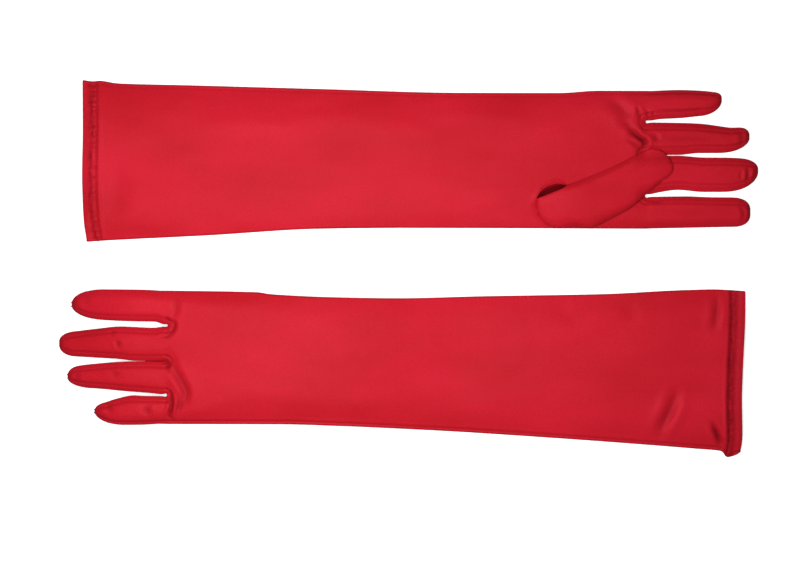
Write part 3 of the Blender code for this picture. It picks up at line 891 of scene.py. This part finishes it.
# The thumb, in millimetres in its own frame: t runs from its pivot to its tip, s across it towards
# the little finger, and d away from the palm
thumb = {
    "angle": 21.8,
    "pivot": {"right": (-58.0, -31.0), "left": (-58.0, -27.5)},
    "high": [
        (-12.1, 15.6), (2, 15.6), (6, 15.2), (9.8, 13.5), (14.5, 10.5), (20, 9.9), (36, 9.9),
        (53, 10.8), (67, 12.0), (74, 12.7), (84, 12.7),
    ],
    "low": [
        (-12.1, -16.0), (2, -16.0), (18.9, -22.4), (32.6, -21.3), (45.4, -19.8), (59.3, -15.3),
        (71.1, -11.2), (78, -9.6), (84, -9.6),
    ],
    "base": (-12.1, -0.8),
    "tip": (83.6, -0.6),
    "baseStart": 2.0,
    "tipStart": 70.0,
    "highRound": (70.0, 2.0, 2.3),
    "lowRound": (74.0, 2.6, 1.75),
    "thickness": [(-12, 2.2), (-4, 3.6), (12, 5.0), (45, 5.2), (66, 4.6), (84, 3.8)],
    "fullness": {"right": 1.0, "left": 1.32},
    "foldEdge": 9.7,
    "radius": 1.25,
    "columns": 14,
    "row": 2.0,
    "tubeStart": 15.0,
    "holeInset": 0.9,
    "holeCorner": [(14.0, 9.3), (12.8, 10.6)],
    "holeFront": 10.0,
}


class ThumbPlan:
    # answers where one thumb's edges and its seam are, in its own frame and in the glove's
    def __init__(self, side):
        self.side = side
        self.palmUp = gloves[side]["palmUp"]
        self.lines = {"high": curveThrough(thumb["high"]), "low": curveThrough(thumb["low"])}
        self.thickness = curveThrough(thumb["thickness"])
        self.angle = math.radians(thumb["angle"])

    def edge(self, key, t):
        line = float(self.lines[key](t))
        start, tipPower, basePower = thumb[key + "Round"]
        if t > start:
            endT, endS = thumb["tip"]
            share, power = (t - start) / (endT - start), tipPower
        elif t < thumb["baseStart"]:
            endT, endS = thumb["base"]
            share, power = (thumb["baseStart"] - t) / (thumb["baseStart"] - endT), basePower
        else:
            return line
        share = min(max(share, 0.0), 1.0)
        return endS + (line - endS) * (1 - share**power) ** (1 / power)

    def inGlove(self, t, s):
        u0, v0 = thumb["pivot"][self.side]
        return u0 + t * math.cos(self.angle) - s * math.sin(self.angle), (
            v0 + t * math.sin(self.angle) + s * math.cos(self.angle)
        )

    def fromGlove(self, u, v):
        u0, v0 = thumb["pivot"][self.side]
        du, dv = u - u0, v - v0
        return du * math.cos(self.angle) + dv * math.sin(self.angle), (
            dv * math.cos(self.angle) - du * math.sin(self.angle)
        )

    def seam(self, inset=0.0):
        # the U-shaped seam round the thumb's base, from its pocket round to the glove's side
        end = thumb["base"][0]
        highRound = end + 6.1 * (1 - np.sin(np.linspace(0.1, 1.45, 12)))
        lowRound = end + 9.1 * (1 - np.cos(np.linspace(0.1, 1.55, 16)))
        highSide = np.concatenate([np.linspace(11.0, -6.0, 18), highRound])
        lowSide = np.concatenate([lowRound, np.linspace(-2.0, 8.0, 6)])
        points = [(float(t), self.edge("high", float(t)) - inset) for t in highSide]
        return points + [(float(t), self.edge("low", float(t)) + inset) for t in lowSide]


def roundedEdge(radius, turns):
    # an edge's round profile as (how far in, how far up) at each turn in degrees
    turns = np.radians(turns)
    return [(radius * (1 - math.cos(turn)), 0.35 + radius * (1 + math.sin(turn))) for turn in turns]


def thumbSection(plan, t):
    # one section across the upper layer, from its low edge to its high edge: (s, d)
    low, high = plan.edge("low", t), plan.edge("high", t)
    thick = float(plan.thickness(t)) * thumb["fullness"][plan.side]
    width = high - low
    ending = min(max((t - thumb["tipStart"]) / (thumb["tip"][0] - thumb["tipStart"]), 0.0), 1.0)
    squeeze = thinning(ending)
    radius = min(thumb["radius"] * (0.12 + 0.88 * squeeze), width * 0.22)
    tube = float(smoothStep((t - 9.0) / 7))  # from 0, sewn flat on the palm, to 1, a free tube
    pocket = float(smoothStep((t + 9.8) / 3.2) * (1 - smoothStep((t - 9.5) / 6)))
    fold = min(thumb["foldEdge"], high)
    lowTube = roundedEdge(radius, [-90, -45, 0, 45])
    lowBase = [(0.0, -0.2), (0.12, 0.35), (0.5, 0.95), (1.1, 1.5)]
    share = min(1.0, width / 12)
    section = []
    for (tubeIn, tubeUp), (baseIn, baseUp) in zip(lowTube, lowBase):
        s = low + tube * tubeIn + (1 - tube) * baseIn * share
        section.append((s, tube * tubeUp + (1 - tube) * baseUp * share))
    highTube = roundedEdge(radius, [60, 30, 0, -30, -60, -90])
    highBase = [(1.7, 1.8), (1.2, 1.5), (0.8, 1.15), (0.4, 0.8), (0.12, 0.35), (0.0, -0.2)]
    inPocket = [
        (fold - 0.9, thick - 0.3), (fold, thick - 1.3), (fold - 0.8, 0.8), (fold - 1.8, -2.4),
        (fold - 0.2, -4.6), (high + 0.1, 0.3),
    ]
    edgePoints = []
    for (tubeIn, tubeUp), (baseIn, baseUp), (pocketS, pocketUp) in zip(highTube, highBase, inPocket):
        plainS = high - tube * tubeIn - (1 - tube) * baseIn * share
        plainUp = tube * tubeUp + (1 - tube) * baseUp * share
        edgePoints.append((plainS + pocket * (pocketS - plainS), plainUp + pocket * (pocketUp - plainUp)))
    topLow = (low + (radius if tube > 0.5 else 1.6 * share), section[-1][1])
    crownEnd = edgePoints[0][0] - 0.9
    crownStart = max(topLow[0], section[-1][0] + 0.6)
    for column in range(thumb["columns"]):
        x = (column + 0.5) / thumb["columns"]
        x = 0.5 - 0.5 * math.cos(math.pi * x) * 0.92
        s = crownStart + x * (crownEnd - crownStart)
        lowRise = 1 - (1 - min((s - low) / 7.5, 1.0)) ** 2
        highRise = 1 - (1 - min((max(crownEnd - s, 0) + 1.4) / 5.0, 1.0)) ** 2
        rise = lowRise * (highRise * (1 - 0.6 * pocket) + 0.6 * pocket)
        base = (0.35 + 2 * radius) * tube + 1.7 * share * (1 - tube)
        section.append((s, base + (thick * (0.25 + 0.75 * squeeze) - base) * rise))
    return section + edgePoints


def layThumb(side, heightAt):
    plan = ThumbPlan(side)
    glovePlan = GlovePlan(side)
    mesh = ClothMesh()
    glove = gloves[side]
    baseTurns = np.radians([84, 74, 63, 52, 42, 32, 22, 11])
    start, tipStart = thumb["baseStart"], thumb["tipStart"]
    stations = list(start - (start - thumb["base"][0]) * np.sin(baseTurns))
    stations += list(np.arange(start, tipStart - 1.0, thumb["row"]))
    stations += list(tipStart + (thumb["tip"][0] - tipStart) * np.sin(tipTurns))
    outerRows, innerRows = [], []
    palmFloor = 3.0 * mm  # the palm's height where no cloth is found under the thumb

    def place(t, s, d):
        u, v = plan.inGlove(t, s)
        v = max(v, float(glovePlan.low(u)) + 0.5)
        x, y = spotInWorld(side, u, v, 0.0)[:2]
        if plan.palmUp:
            ground = max(heightAt(x, y, palmFloor), palmFloor)
            return mesh.add(u, v, ground / mm + d)
        ground = glove["lift"]
        return mesh.add(u, v, ground - d)

    for t in stations:
        section = thumbSection(plan, t)
        outerRows.append([place(t, s, d) for s, d in section])
        if t < thumb["tubeStart"]:
            innerRows.append(None)
            continue
        startS, endS = section[0][0], section[-1][0]
        inner = [outerRows[-1][0]]
        for column in range(1, thumb["columns"]):
            x = column / thumb["columns"]
            inner.append(place(t, startS + x * (endS - startS), 0.35))
        inner.append(outerRows[-1][-1])
        innerRows.append(inner)
    turned = not plan.palmUp
    for i in range(len(stations) - 1):
        first, second = outerRows[i], outerRows[i + 1]
        if turned:
            first, second = first[::-1], second[::-1]
        mesh.strip(first, second, "thumb")
        if innerRows[i] is not None:
            first, second = innerRows[i][::-1], innerRows[i + 1][::-1]
            if turned:
                first, second = first[::-1], second[::-1]
            mesh.strip(first, second, "thumb")
    # the tip is sewn shut along the middle of its last row
    ring = outerRows[-1] + innerRows[-1][1:-1][::-1]
    middle = mesh.add(*np.mean([mesh.points[k] for k in ring], axis=0))
    count = len(ring)
    for k in range(0, count, 2):
        corner = [ring[k], middle, ring[(k + 2) % count], ring[(k + 1) % count]]
        if count % 2 and k == count - 1:
            corner = [ring[k], middle, ring[0]]
        mesh.faces.append(tuple(corner if not turned else corner[::-1]))
        mesh.labels.append("thumb")
    return mesh, plan


def turnIn(outer, outerNormals, depth):
    return outer - outerNormals * depth * mm


def makeHem(side, rings, world, normals):
    # the sleeve's cloth turns in at the cuff and runs back inside it, to its overlocked raw edge
    profile = [(0, 0.05), (-0.35, 0.12), (-0.62, 0.45), (-0.62, 0.75), (-0.35, 1.05)]
    along = np.array([gloves[side]["turn"] * mm, 0, 0])
    ring = rings[0]
    rows = [turnIn(world[ring], normals[ring], depth) + along * out for out, depth in profile]
    rows += [turnIn(world[ring], normals[ring], 1.1) for ring in rings]
    points, quads, count = np.concatenate(rows), [], len(ring)
    for row in range(len(rows) - 1):
        here, there = row * count, (row + 1) * count
        for i in range(count):
            j = (i + 1) % count
            quads.append([here + i, here + j, there + j, there + i])
    quads = np.array(quads)
    hemNormals = pointNormals(points, quads)
    outward = hemNormals[-count:] * normals[rings[-1]]
    if outward.sum() > 0:
        quads = quads[:, ::-1]
        hemNormals = -hemNormals
    piece = thickCloth(f"{side}_hem_lining_cloth", points, quads, hemNormals, 0.35)
    dress(piece, satin, satinInside)
    finishPiece(piece, f"{side}_hem_lining", f"{side}_glove")
    edge = points[:count]
    girth = float(np.linalg.norm(np.roll(edge, -1, axis=0) - edge, axis=1).sum())
    declareCloth(points, quads, length=girth)
    return [tuple(p) for p in turnIn(world[rings[-1]], normals[rings[-1]], 1.7)]


def makeAllowance(side, plan):
    # two raw layers of the side seam, pressed together inside the sleeve
    insets = (0, 1.3, 2.6, 3.9)
    rows = []
    for u in np.arange(gloves[side]["cuff"] + 10.0, 2.0, 2.5):
        edge = float(plan.high(u))
        wave = 0.25 * math.sin(u * 0.9) + 0.18 * math.sin(u * 0.37)
        middle = float(plan.lift(u)) + 1.5
        rows.append([(u, edge - 1.2 - inset, middle + inset * (0.12 * wave + 0.1)) for inset in insets])
    points = toWorld(side, np.concatenate([np.array(row) for row in rows]))
    quads, across = [], len(insets)
    for row in range(len(rows) - 1):
        for i in range(across - 1):
            a = row * across + i
            quads.append([a, a + 1, a + across + 1, a + across])
    quads = np.array(quads)
    normals = pointNormals(points, quads)
    if normals[:, 2].sum() < 0:
        quads, normals = quads[:, ::-1], -normals
    piece = thickCloth(f"{side}_side_seam_allowance_cloth", points, quads, normals, 0.6)
    dress(piece, satinInside, satinInside)
    finishPiece(piece, f"{side}_side_seam_allowance", f"{side}_glove")
    declareCloth(points, quads)


def stitchTree():
    # sets a small rounded stitch at even steps along a line
    tree = bpy.data.node_groups.new("stitches", "GeometryNodeTree")
    face = tree.interface
    face.new_socket("Geometry", in_out="INPUT", socket_type="NodeSocketGeometry")
    for name, value in (("Pitch", 2.4), ("Length", 1.7), ("Width", 0.35), ("Slant", 0.0)):
        socket = face.new_socket(name, in_out="INPUT", socket_type="NodeSocketFloat")
        socket.default_value = value
    face.new_socket("Seed", in_out="INPUT", socket_type="NodeSocketInt")
    face.new_socket("Thread", in_out="INPUT", socket_type="NodeSocketMaterial")
    face.new_socket("Geometry", in_out="OUTPUT", socket_type="NodeSocketGeometry")
    node = tree.nodes.new
    link = tree.links.new
    start, end = node("NodeGroupInput"), node("NodeGroupOutput")
    toCurve = node("GeometryNodeMeshToCurve")
    toPoints = node("GeometryNodeCurveToPoints")
    toPoints.mode = "LENGTH"
    link(start.outputs["Geometry"], toCurve.inputs[0])
    link(toCurve.outputs[0], toPoints.inputs["Curve"])
    link(start.outputs["Pitch"], toPoints.inputs["Length"])
    stitch = node("GeometryNodeMeshUVSphere")
    stitch.inputs["Segments"].default_value = 8
    stitch.inputs["Rings"].default_value = 5
    stitch.inputs["Radius"].default_value = 0.5
    align = node("FunctionNodeAlignRotationToVector")
    align.axis = "X"
    link(toPoints.outputs["Tangent"], align.inputs["Vector"])
    turn = node("FunctionNodeRotateRotation")
    turn.rotation_space = "LOCAL"
    turnBy = node("ShaderNodeCombineXYZ")
    jitter = node("FunctionNodeRandomValue")
    jitter.data_type = "FLOAT"
    jitter.inputs[2].default_value = -0.07
    jitter.inputs[3].default_value = 0.07
    link(start.outputs["Seed"], jitter.inputs["Seed"])
    addTurn = node("ShaderNodeMath")
    link(start.outputs["Slant"], addTurn.inputs[0])
    link(jitter.outputs[1], addTurn.inputs[1])
    link(addTurn.outputs[0], turnBy.inputs["Z"])
    link(align.outputs[0], turn.inputs[0])
    asRotation = node("FunctionNodeEulerToRotation")
    link(turnBy.outputs[0], asRotation.inputs[0])
    link(asRotation.outputs[0], turn.inputs[1])
    size = node("ShaderNodeCombineXYZ")
    link(start.outputs["Length"], size.inputs["X"])
    link(start.outputs["Width"], size.inputs["Y"])
    link(start.outputs["Width"], size.inputs["Z"])
    place = node("GeometryNodeInstanceOnPoints")
    link(toPoints.outputs["Points"], place.inputs["Points"])
    link(stitch.outputs["Mesh"], place.inputs["Instance"])
    link(turn.outputs[0], place.inputs["Rotation"])
    link(size.outputs[0], place.inputs["Scale"])
    real = node("GeometryNodeRealizeInstances")
    paint = node("GeometryNodeSetMaterial")
    smoothShade = node("GeometryNodeSetShadeSmooth")
    link(place.outputs[0], real.inputs[0])
    link(real.outputs[0], smoothShade.inputs[0])
    link(smoothShade.outputs[0], paint.inputs[0])
    link(start.outputs["Thread"], paint.inputs["Material"])
    link(paint.outputs[0], end.inputs[0])
    return tree


def sewStitches(name, lines, pitch, length, width, slant, seed):
    # lines are lists of places in the world; sizes in millimetres
    data = bpy.data.meshes.new(name)
    points, edges = [], []
    for line in lines:
        first = len(points)
        points += [tuple(p) for p in line]
        edges += [(i, i + 1) for i in range(first, len(points) - 1)]
    data.from_pydata(points, edges, [])
    piece = bpy.data.objects.new(name, data)
    bpy.context.scene.collection.objects.link(piece)
    modifier = piece.modifiers.new("Stitches", "NODES")
    modifier.node_group = stitches
    sizes = {"Pitch": pitch * mm, "Length": length * mm, "Width": width * mm}
    values = {**sizes, "Slant": slant, "Seed": seed, "Thread": thread}
    for item in stitches.interface.items_tree:
        if item.in_out == "INPUT" and item.name in values:
            modifier[item.identifier] = values[item.name]
    bpy.context.view_layer.update()
    finished = bpy.data.meshes.new_from_object(piece.evaluated_get(bpy.context.evaluated_depsgraph_get()))
    piece.modifiers.clear()
    piece.data = finished
    finished.name = name
    bpy.data.meshes.remove(data)
    return piece


def onSurface(side, places, tree, above):
    # world places on the cloth's upper face, a little above it
    line = []
    for u, v in places:
        x, y = spotInWorld(side, u, v, 0)[:2]
        hit = tree.ray_cast(Vector((x, y, 0.1)), Vector((0, 0, -1)))
        if hit[0] is not None:
            line.append(tuple(hit[0] + hit[1] * above * mm))
    return line


# Each row of stitches: its pitch, and a stitch's length, width, slant and seed
sewing = {
    "overlock": {"pitch": 1.5, "length": 2.6, "width": 0.4, "slant": 1.25, "seed": 3},
    "cover": {"pitch": 2.9, "length": 2.1, "width": 0.36, "slant": 0.1, "seed": 5},
    "thumb": {"pitch": 2.0, "length": 1.5, "width": 0.34, "slant": 0.15, "seed": 7},
    "coverGap": 0.9,
}


def makeSeams(side, thumbPlan, tree, overlockLine, rings, world, normals):
    root = f"{side}_glove"
    closed = [overlockLine + overlockLine[:1]]
    overlock = sewStitches(f"{side}_hem_overlock_thread", closed, **sewing["overlock"])
    finishPiece(overlock, f"{side}_hem_overlock", root)
    # two rows of stitches hold the hem, with the sleeve's cloth pulled in under them
    covers = []
    for depth in (hem["width"] - sewing["coverGap"], hem["width"] + sewing["coverGap"]):
        row, share = int(depth / hem["row"]), depth / hem["row"] % 1
        low, high = np.array(rings[row]), np.array(rings[min(row + 1, len(rings) - 1)])
        line = world[low] * (1 - share) + world[high] * share + normals[low] * 0.02 * mm
        covers.append([tuple(p) for p in line] + [tuple(line[0])])
    cover = sewStitches(f"{side}_hem_cover_stitches", covers, **sewing["cover"])
    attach(cover, root)
    places = [thumbPlan.inGlove(t, s) for t, s in thumbPlan.seam(-0.35)]
    if thumbPlan.palmUp:
        line = onSurface(side, places, tree, 0.12)
    else:
        line = [spotInWorld(side, u, v, gloves[side]["lift"] - 0.15) for u, v in places]
    seam = sewStitches(f"{side}_thumb_seam_thread", [line], **sewing["thumb"])
    finishPiece(seam, f"{side}_thumb_seam", root)


def makeThumb(side, heightAt):
    mesh, plan = layThumb(side, heightAt)
    points, quads = subdivided(f"{side}_thumb_form", mesh.points, mesh.faces, mesh.labels)[:2]
    normals = pointNormals(points, quads)
    broad = noiseField(points, (16.0, 11.0), 33.0)
    points[:, 2] = np.maximum(points[:, 2] + 0.3 * broad * np.abs(normals[:, 2]), 0.0)
    world = toWorld(side, points)
    dark = np.zeros(len(points))
    if plan.palmUp:
        # the pocket by the thumb's base lies below the palm, and shade is painted into its colour there
        ground = np.array([heightAt(x, y, z) for x, y, z in world])
        t, s = plan.fromGlove(points[:, 0], points[:, 1])
        below = smoothStep(((ground - world[:, 2]) / mm + 0.2) / 1.6)
        dark = 0.85 * below * smoothStep((13.5 - t) / 2) * (s > 4)
    normals = pointNormals(world, quads)
    room = roomInside(world, quads, normals)
    piece = thickCloth(f"{side}_thumb_cloth", world, quads, normals, room=room, dark=dark)
    dress(piece, satin, satinInside)
    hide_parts(f"{side}_thumb")
    high = gloves[side]["lift"] if not plan.palmUp else 9.0
    start = spotInWorld(side, *plan.inGlove(-9.0, 0), high)
    end = spotInWorld(side, *plan.inGlove(11.0, 0), high)
    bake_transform(piece)
    declareCloth(world, quads)


def makeGlove(side):
    mesh, plan = layGlove(side)
    points, quads, found, names = subdivided(side, mesh.points, mesh.faces, mesh.labels)
    normals = pointNormals(points, quads)
    points, dark = pressDetails(side, plan, points, normals)
    tree = BVHTree.FromPolygons([tuple(p) for p in toWorld(side, points)], quads.tolist())

    def heightAt(x, y, otherwise):
        hit = tree.ray_cast(Vector((x, y, 0.1)), Vector((0, 0, -1)))
        return hit[0].z if hit[0] is not None else otherwise

    makeThumb(side, heightAt)
    thumbPlan = ThumbPlan(side)
    quads, found = cutThumbHole(side, thumbPlan, points, quads, found, names.index("palm"))
    world = toWorld(side, points)
    normals = pointNormals(world, quads)
    room = roomInside(world, quads, normals)
    for number, label in enumerate(names):
        own = quads[found == number]
        if label in ("palm", "back"):
            node = f"{side}_{label}_panel"
        else:
            node = f"{side}_{label}"
        piece = thickCloth(f"{node}_cloth", world, own, normals, room=room, dark=dark)
        dress(piece, satin, satinInside)
        finger = label.split("_end_")[0] if "_end_" in label else None
        body = f"{side}_{finger}_end" if finger else f"{side}_glove"
        finishPiece(piece, node, body, finger, side)
        declareCloth(world, own, folds=2 if label.startswith("fourchette") else 1)
    print(f"{side} glove: {len(names)} cloth pieces")
    overlockLine = makeHem(side, mesh.cuffRings, world, normals)
    makeAllowance(side, plan)
    makeSeams(side, thumbPlan, tree, overlockLine, mesh.cuffRings, world, normals)
    print(f"{side} glove: thumb, hem and stitches")


def declareCloth(points, quads, folds=1, length=None):
    # works out the piece's area and the length of the rectangle its cut piece would fill: as long as the
    # finished one, or twice that if it is a strip that runs round a crotch; a strip that runs round the cuff
    # gives its own length. Neither is used further
    area = pieceArea(points, quads)
    corners = points[quads.reshape(-1)]
    length = length or folds * float(np.ptp(corners[:, 0]))


def addNode(tree, kind, **values):
    node = tree.nodes.new(kind)
    for name, value in values.items():
        if name in node.inputs:
            node.inputs[name].default_value = value
        else:
            setattr(node, name, value)
    return node


def clothMaterial(name, colour, roughness, sheen, specular, glossTint):
    # knitted satin: soft patches of colour, a fine knit grain, and a sheen in its own red
    material = bpy.data.materials.new(name)
    material.use_nodes = True
    tree = material.node_tree
    link = tree.links.new
    shader = tree.nodes["Principled BSDF"]
    shader.inputs["Roughness"].default_value = roughness
    shader.inputs["Specular IOR Level"].default_value = specular
    shader.inputs["Specular Tint"].default_value = (*glossTint, 1)
    shader.inputs["Sheen Weight"].default_value = sheen
    shader.inputs["Sheen Roughness"].default_value = 0.45
    shader.inputs["Sheen Tint"].default_value = (1.0, 0.16, 0.22, 1)
    place = addNode(tree, "ShaderNodeTexCoord")
    patches = addNode(tree, "ShaderNodeTexNoise", Scale=26.0, Detail=2.0, Roughness=0.5)
    grain = addNode(tree, "ShaderNodeTexNoise", Scale=900.0, Detail=2.0, Roughness=0.6)
    stretch = addNode(tree, "ShaderNodeMapping")
    stretch.inputs["Scale"].default_value = (0.45, 1.0, 1.0)
    link(place.outputs["Object"], stretch.inputs["Vector"])
    link(stretch.outputs["Vector"], patches.inputs["Vector"])
    link(place.outputs["Object"], grain.inputs["Vector"])
    broad = addNode(tree, "ShaderNodeValToRGB")
    broad.color_ramp.elements[0].position = 0.3
    broad.color_ramp.elements[1].position = 0.7
    broad.color_ramp.elements[0].color = (colour[0] * 0.9, colour[1] * 0.86, colour[2] * 0.8, 1)
    broad.color_ramp.elements[1].color = (colour[0] * 1.07, colour[1] * 1.12, colour[2] * 1.25, 1)
    fine = addNode(tree, "ShaderNodeValToRGB")
    fine.color_ramp.elements[0].position = 0.32
    fine.color_ramp.elements[1].position = 0.68
    fine.color_ramp.elements[0].color = (0.93, 0.9, 0.9, 1)
    fine.color_ramp.elements[1].color = (1.06, 1.1, 1.1, 1)
    mix = addNode(tree, "ShaderNodeMix", data_type="RGBA", blend_type="MULTIPLY")
    mix.inputs["Factor"].default_value = 1.0
    link(patches.outputs["Fac"], broad.inputs["Fac"])
    link(grain.outputs["Fac"], fine.inputs["Fac"])
    link(broad.outputs["Color"], mix.inputs["A"])
    link(fine.outputs["Color"], mix.inputs["B"])
    # painted shade, from creases, seams, edges, the hem's band and the thumb's pocket, darkens the base
    # colour towards a deep red
    painted_shade = addNode(tree, "ShaderNodeAttribute", attribute_name="painted_shade")
    paintShade = addNode(tree, "ShaderNodeMix", data_type="RGBA")
    paintShade.inputs["B"].default_value = (colour[0] * 0.12, colour[1] * 0.1, colour[2] * 0.1, 1)
    link(painted_shade.outputs["Fac"], paintShade.inputs["Factor"])
    link(mix.outputs["Result"], paintShade.inputs["A"])
    link(paintShade.outputs["Result"], shader.inputs["Base Color"])
    knit = addNode(tree, "ShaderNodeTexWave", Scale=420.0, Distortion=1.5, Detail=1.0)
    knit.inputs["Detail Scale"].default_value = 2.0
    link(place.outputs["Object"], knit.inputs["Vector"])
    bump = addNode(tree, "ShaderNodeBump", Strength=0.12, Distance=0.0002)
    together = addNode(tree, "ShaderNodeMath", operation="ADD")
    link(knit.outputs["Fac"], together.inputs[0])
    link(grain.outputs["Fac"], together.inputs[1])
    link(together.outputs[0], bump.inputs["Height"])
    link(bump.outputs["Normal"], shader.inputs["Normal"])
    return material


def threadMaterial():
    material = bpy.data.materials.new("red sewing thread")
    material.use_nodes = True
    tree = material.node_tree
    link = tree.links.new
    shader = tree.nodes["Principled BSDF"]
    shader.inputs["Roughness"].default_value = 0.5
    shader.inputs["Specular IOR Level"].default_value = 0.15
    shader.inputs["Specular Tint"].default_value = (1.0, 0.3, 0.35, 1)
    place = addNode(tree, "ShaderNodeTexCoord")
    twist = addNode(tree, "ShaderNodeTexWave", Scale=900.0, Distortion=0.5)
    twist.bands_direction = "DIAGONAL"
    link(place.outputs["Object"], twist.inputs["Vector"])
    ramp = addNode(tree, "ShaderNodeValToRGB")
    ramp.color_ramp.elements[0].color = (0.36, 0.006, 0.014, 1)
    ramp.color_ramp.elements[1].color = (0.56, 0.012, 0.026, 1)
    link(twist.outputs["Fac"], ramp.inputs["Fac"])
    link(ramp.outputs["Color"], shader.inputs["Base Color"])
    bump = addNode(tree, "ShaderNodeBump", Strength=0.4, Distance=0.0001)
    link(twist.outputs["Fac"], bump.inputs["Height"])
    link(bump.outputs["Normal"], shader.inputs["Normal"])
    return material


studio = {
    "tent": 0.36,
    "horizon": 0.11,
    "backdrop": 0.86,
    "floorGlow": 0.66,
    "lamps": {
        "softbox": {"size": (0.42, 0.3), "power": 2.9, "place": (-0.085, 0.0, 0.53), "aim": (-0.05, 0, 0)},
        "fill": {"size": (1.6, 1.2), "power": 1.3, "place": (0.2, -0.3, 1.5), "aim": (0, 0, 0)},
    },
}


def makeStage():
    bpy.ops.mesh.primitive_plane_add(size=60.0, location=(0, 0, -0.0004))
    floor = bpy.context.object
    floor.name = "floor"
    material = bpy.data.materials.new("pale floor")
    material.use_nodes = True
    shader = material.node_tree.nodes["Principled BSDF"]
    shader.inputs["Base Color"].default_value = (0.94, 0.94, 0.94, 1)
    shader.inputs["Roughness"].default_value = 0.9
    shader.inputs["Specular IOR Level"].default_value = 0.0
    shader.inputs["Emission Color"].default_value = (1, 1, 1, 1)
    shader.inputs["Emission Strength"].default_value = studio["floorGlow"]
    floor.data.materials.append(material)
    floor.visible_diffuse = False  # keeps the white floor from lighting the gloves' edges from below
    floor.visible_glossy = False
    makeWorld()
    for name, spec in studio["lamps"].items():
        light = bpy.data.lights.new(name, "AREA")
        light.shape = "RECTANGLE"
        light.size, light.size_y = spec["size"]
        light.energy = spec["power"]
        lamp = bpy.data.objects.new(name, light)
        lamp.location = spec["place"]
        lamp.rotation_euler = (Vector(spec["aim"]) - lamp.location).to_track_quat("-Z", "Y").to_euler()
        bpy.context.scene.collection.objects.link(lamp)


def makeWorld():
    # white all round to look at, but brightest overhead, like a tent, so that the edges turn dark
    world = bpy.data.worlds.new("studio")
    bpy.context.scene.world = world
    world.use_nodes = True
    tree = world.node_tree
    link = tree.links.new
    plain = tree.nodes["Background"]
    plain.inputs["Color"].default_value = (1, 1, 1, 1)
    plain.inputs["Strength"].default_value = studio["backdrop"]
    tent = addNode(tree, "ShaderNodeBackground")
    direction = addNode(tree, "ShaderNodeTexCoord")
    split = addNode(tree, "ShaderNodeSeparateXYZ")
    brightness = addNode(tree, "ShaderNodeMapRange")
    brightness.inputs["From Min"].default_value = 0.05
    brightness.inputs["From Max"].default_value = 1.0
    brightness.inputs["To Min"].default_value = studio["horizon"]
    brightness.inputs["To Max"].default_value = studio["tent"]
    rays = addNode(tree, "ShaderNodeLightPath")
    mix = addNode(tree, "ShaderNodeMixShader")
    link(direction.outputs["Generated"], split.inputs[0])
    link(split.outputs["Z"], brightness.inputs["Value"])
    link(brightness.outputs["Result"], tent.inputs["Strength"])
    link(rays.outputs["Is Camera Ray"], mix.inputs[0])
    link(tent.outputs[0], mix.inputs[1])
    link(plain.outputs[0], mix.inputs[2])
    link(mix.outputs[0], tree.nodes["World Output"].inputs["Surface"])


# The camera looks straight down; view is how wide it sees at the gloves' height
lens = {"length": 85, "sensor": 36, "view": 0.5333, "middle": (-0.0055, -0.0092), "height": 0.007}


def makeCamera():
    camera = bpy.data.cameras.new("camera")
    camera.lens = lens["length"]
    camera.sensor_width = lens["sensor"]
    holder = bpy.data.objects.new("camera", camera)
    holder.location = (*lens["middle"], lens["view"] * lens["length"] / lens["sensor"] + lens["height"])
    bpy.context.scene.collection.objects.link(holder)
    bpy.context.scene.camera = holder


bpy.context.scene.view_settings.view_transform = "Standard"
findPlaces()
print("the gloves' places are read from the frame")
satin = clothMaterial("red stretch satin", (0.575, 0.0105, 0.0218), 0.42, 0.05, 0.2, (1.0, 0.22, 0.3))
satinInside = clothMaterial("wrong side of the satin", (0.4, 0.01, 0.02), 0.8, 0.0, 0.1, (1.0, 0.4, 0.4))
thread = threadMaterial()
stitches = stitchTree()
for side in gloves:
    makeGlove(side)
makeStage()
makeCamera()
print("studio: floor, lamps and camera")
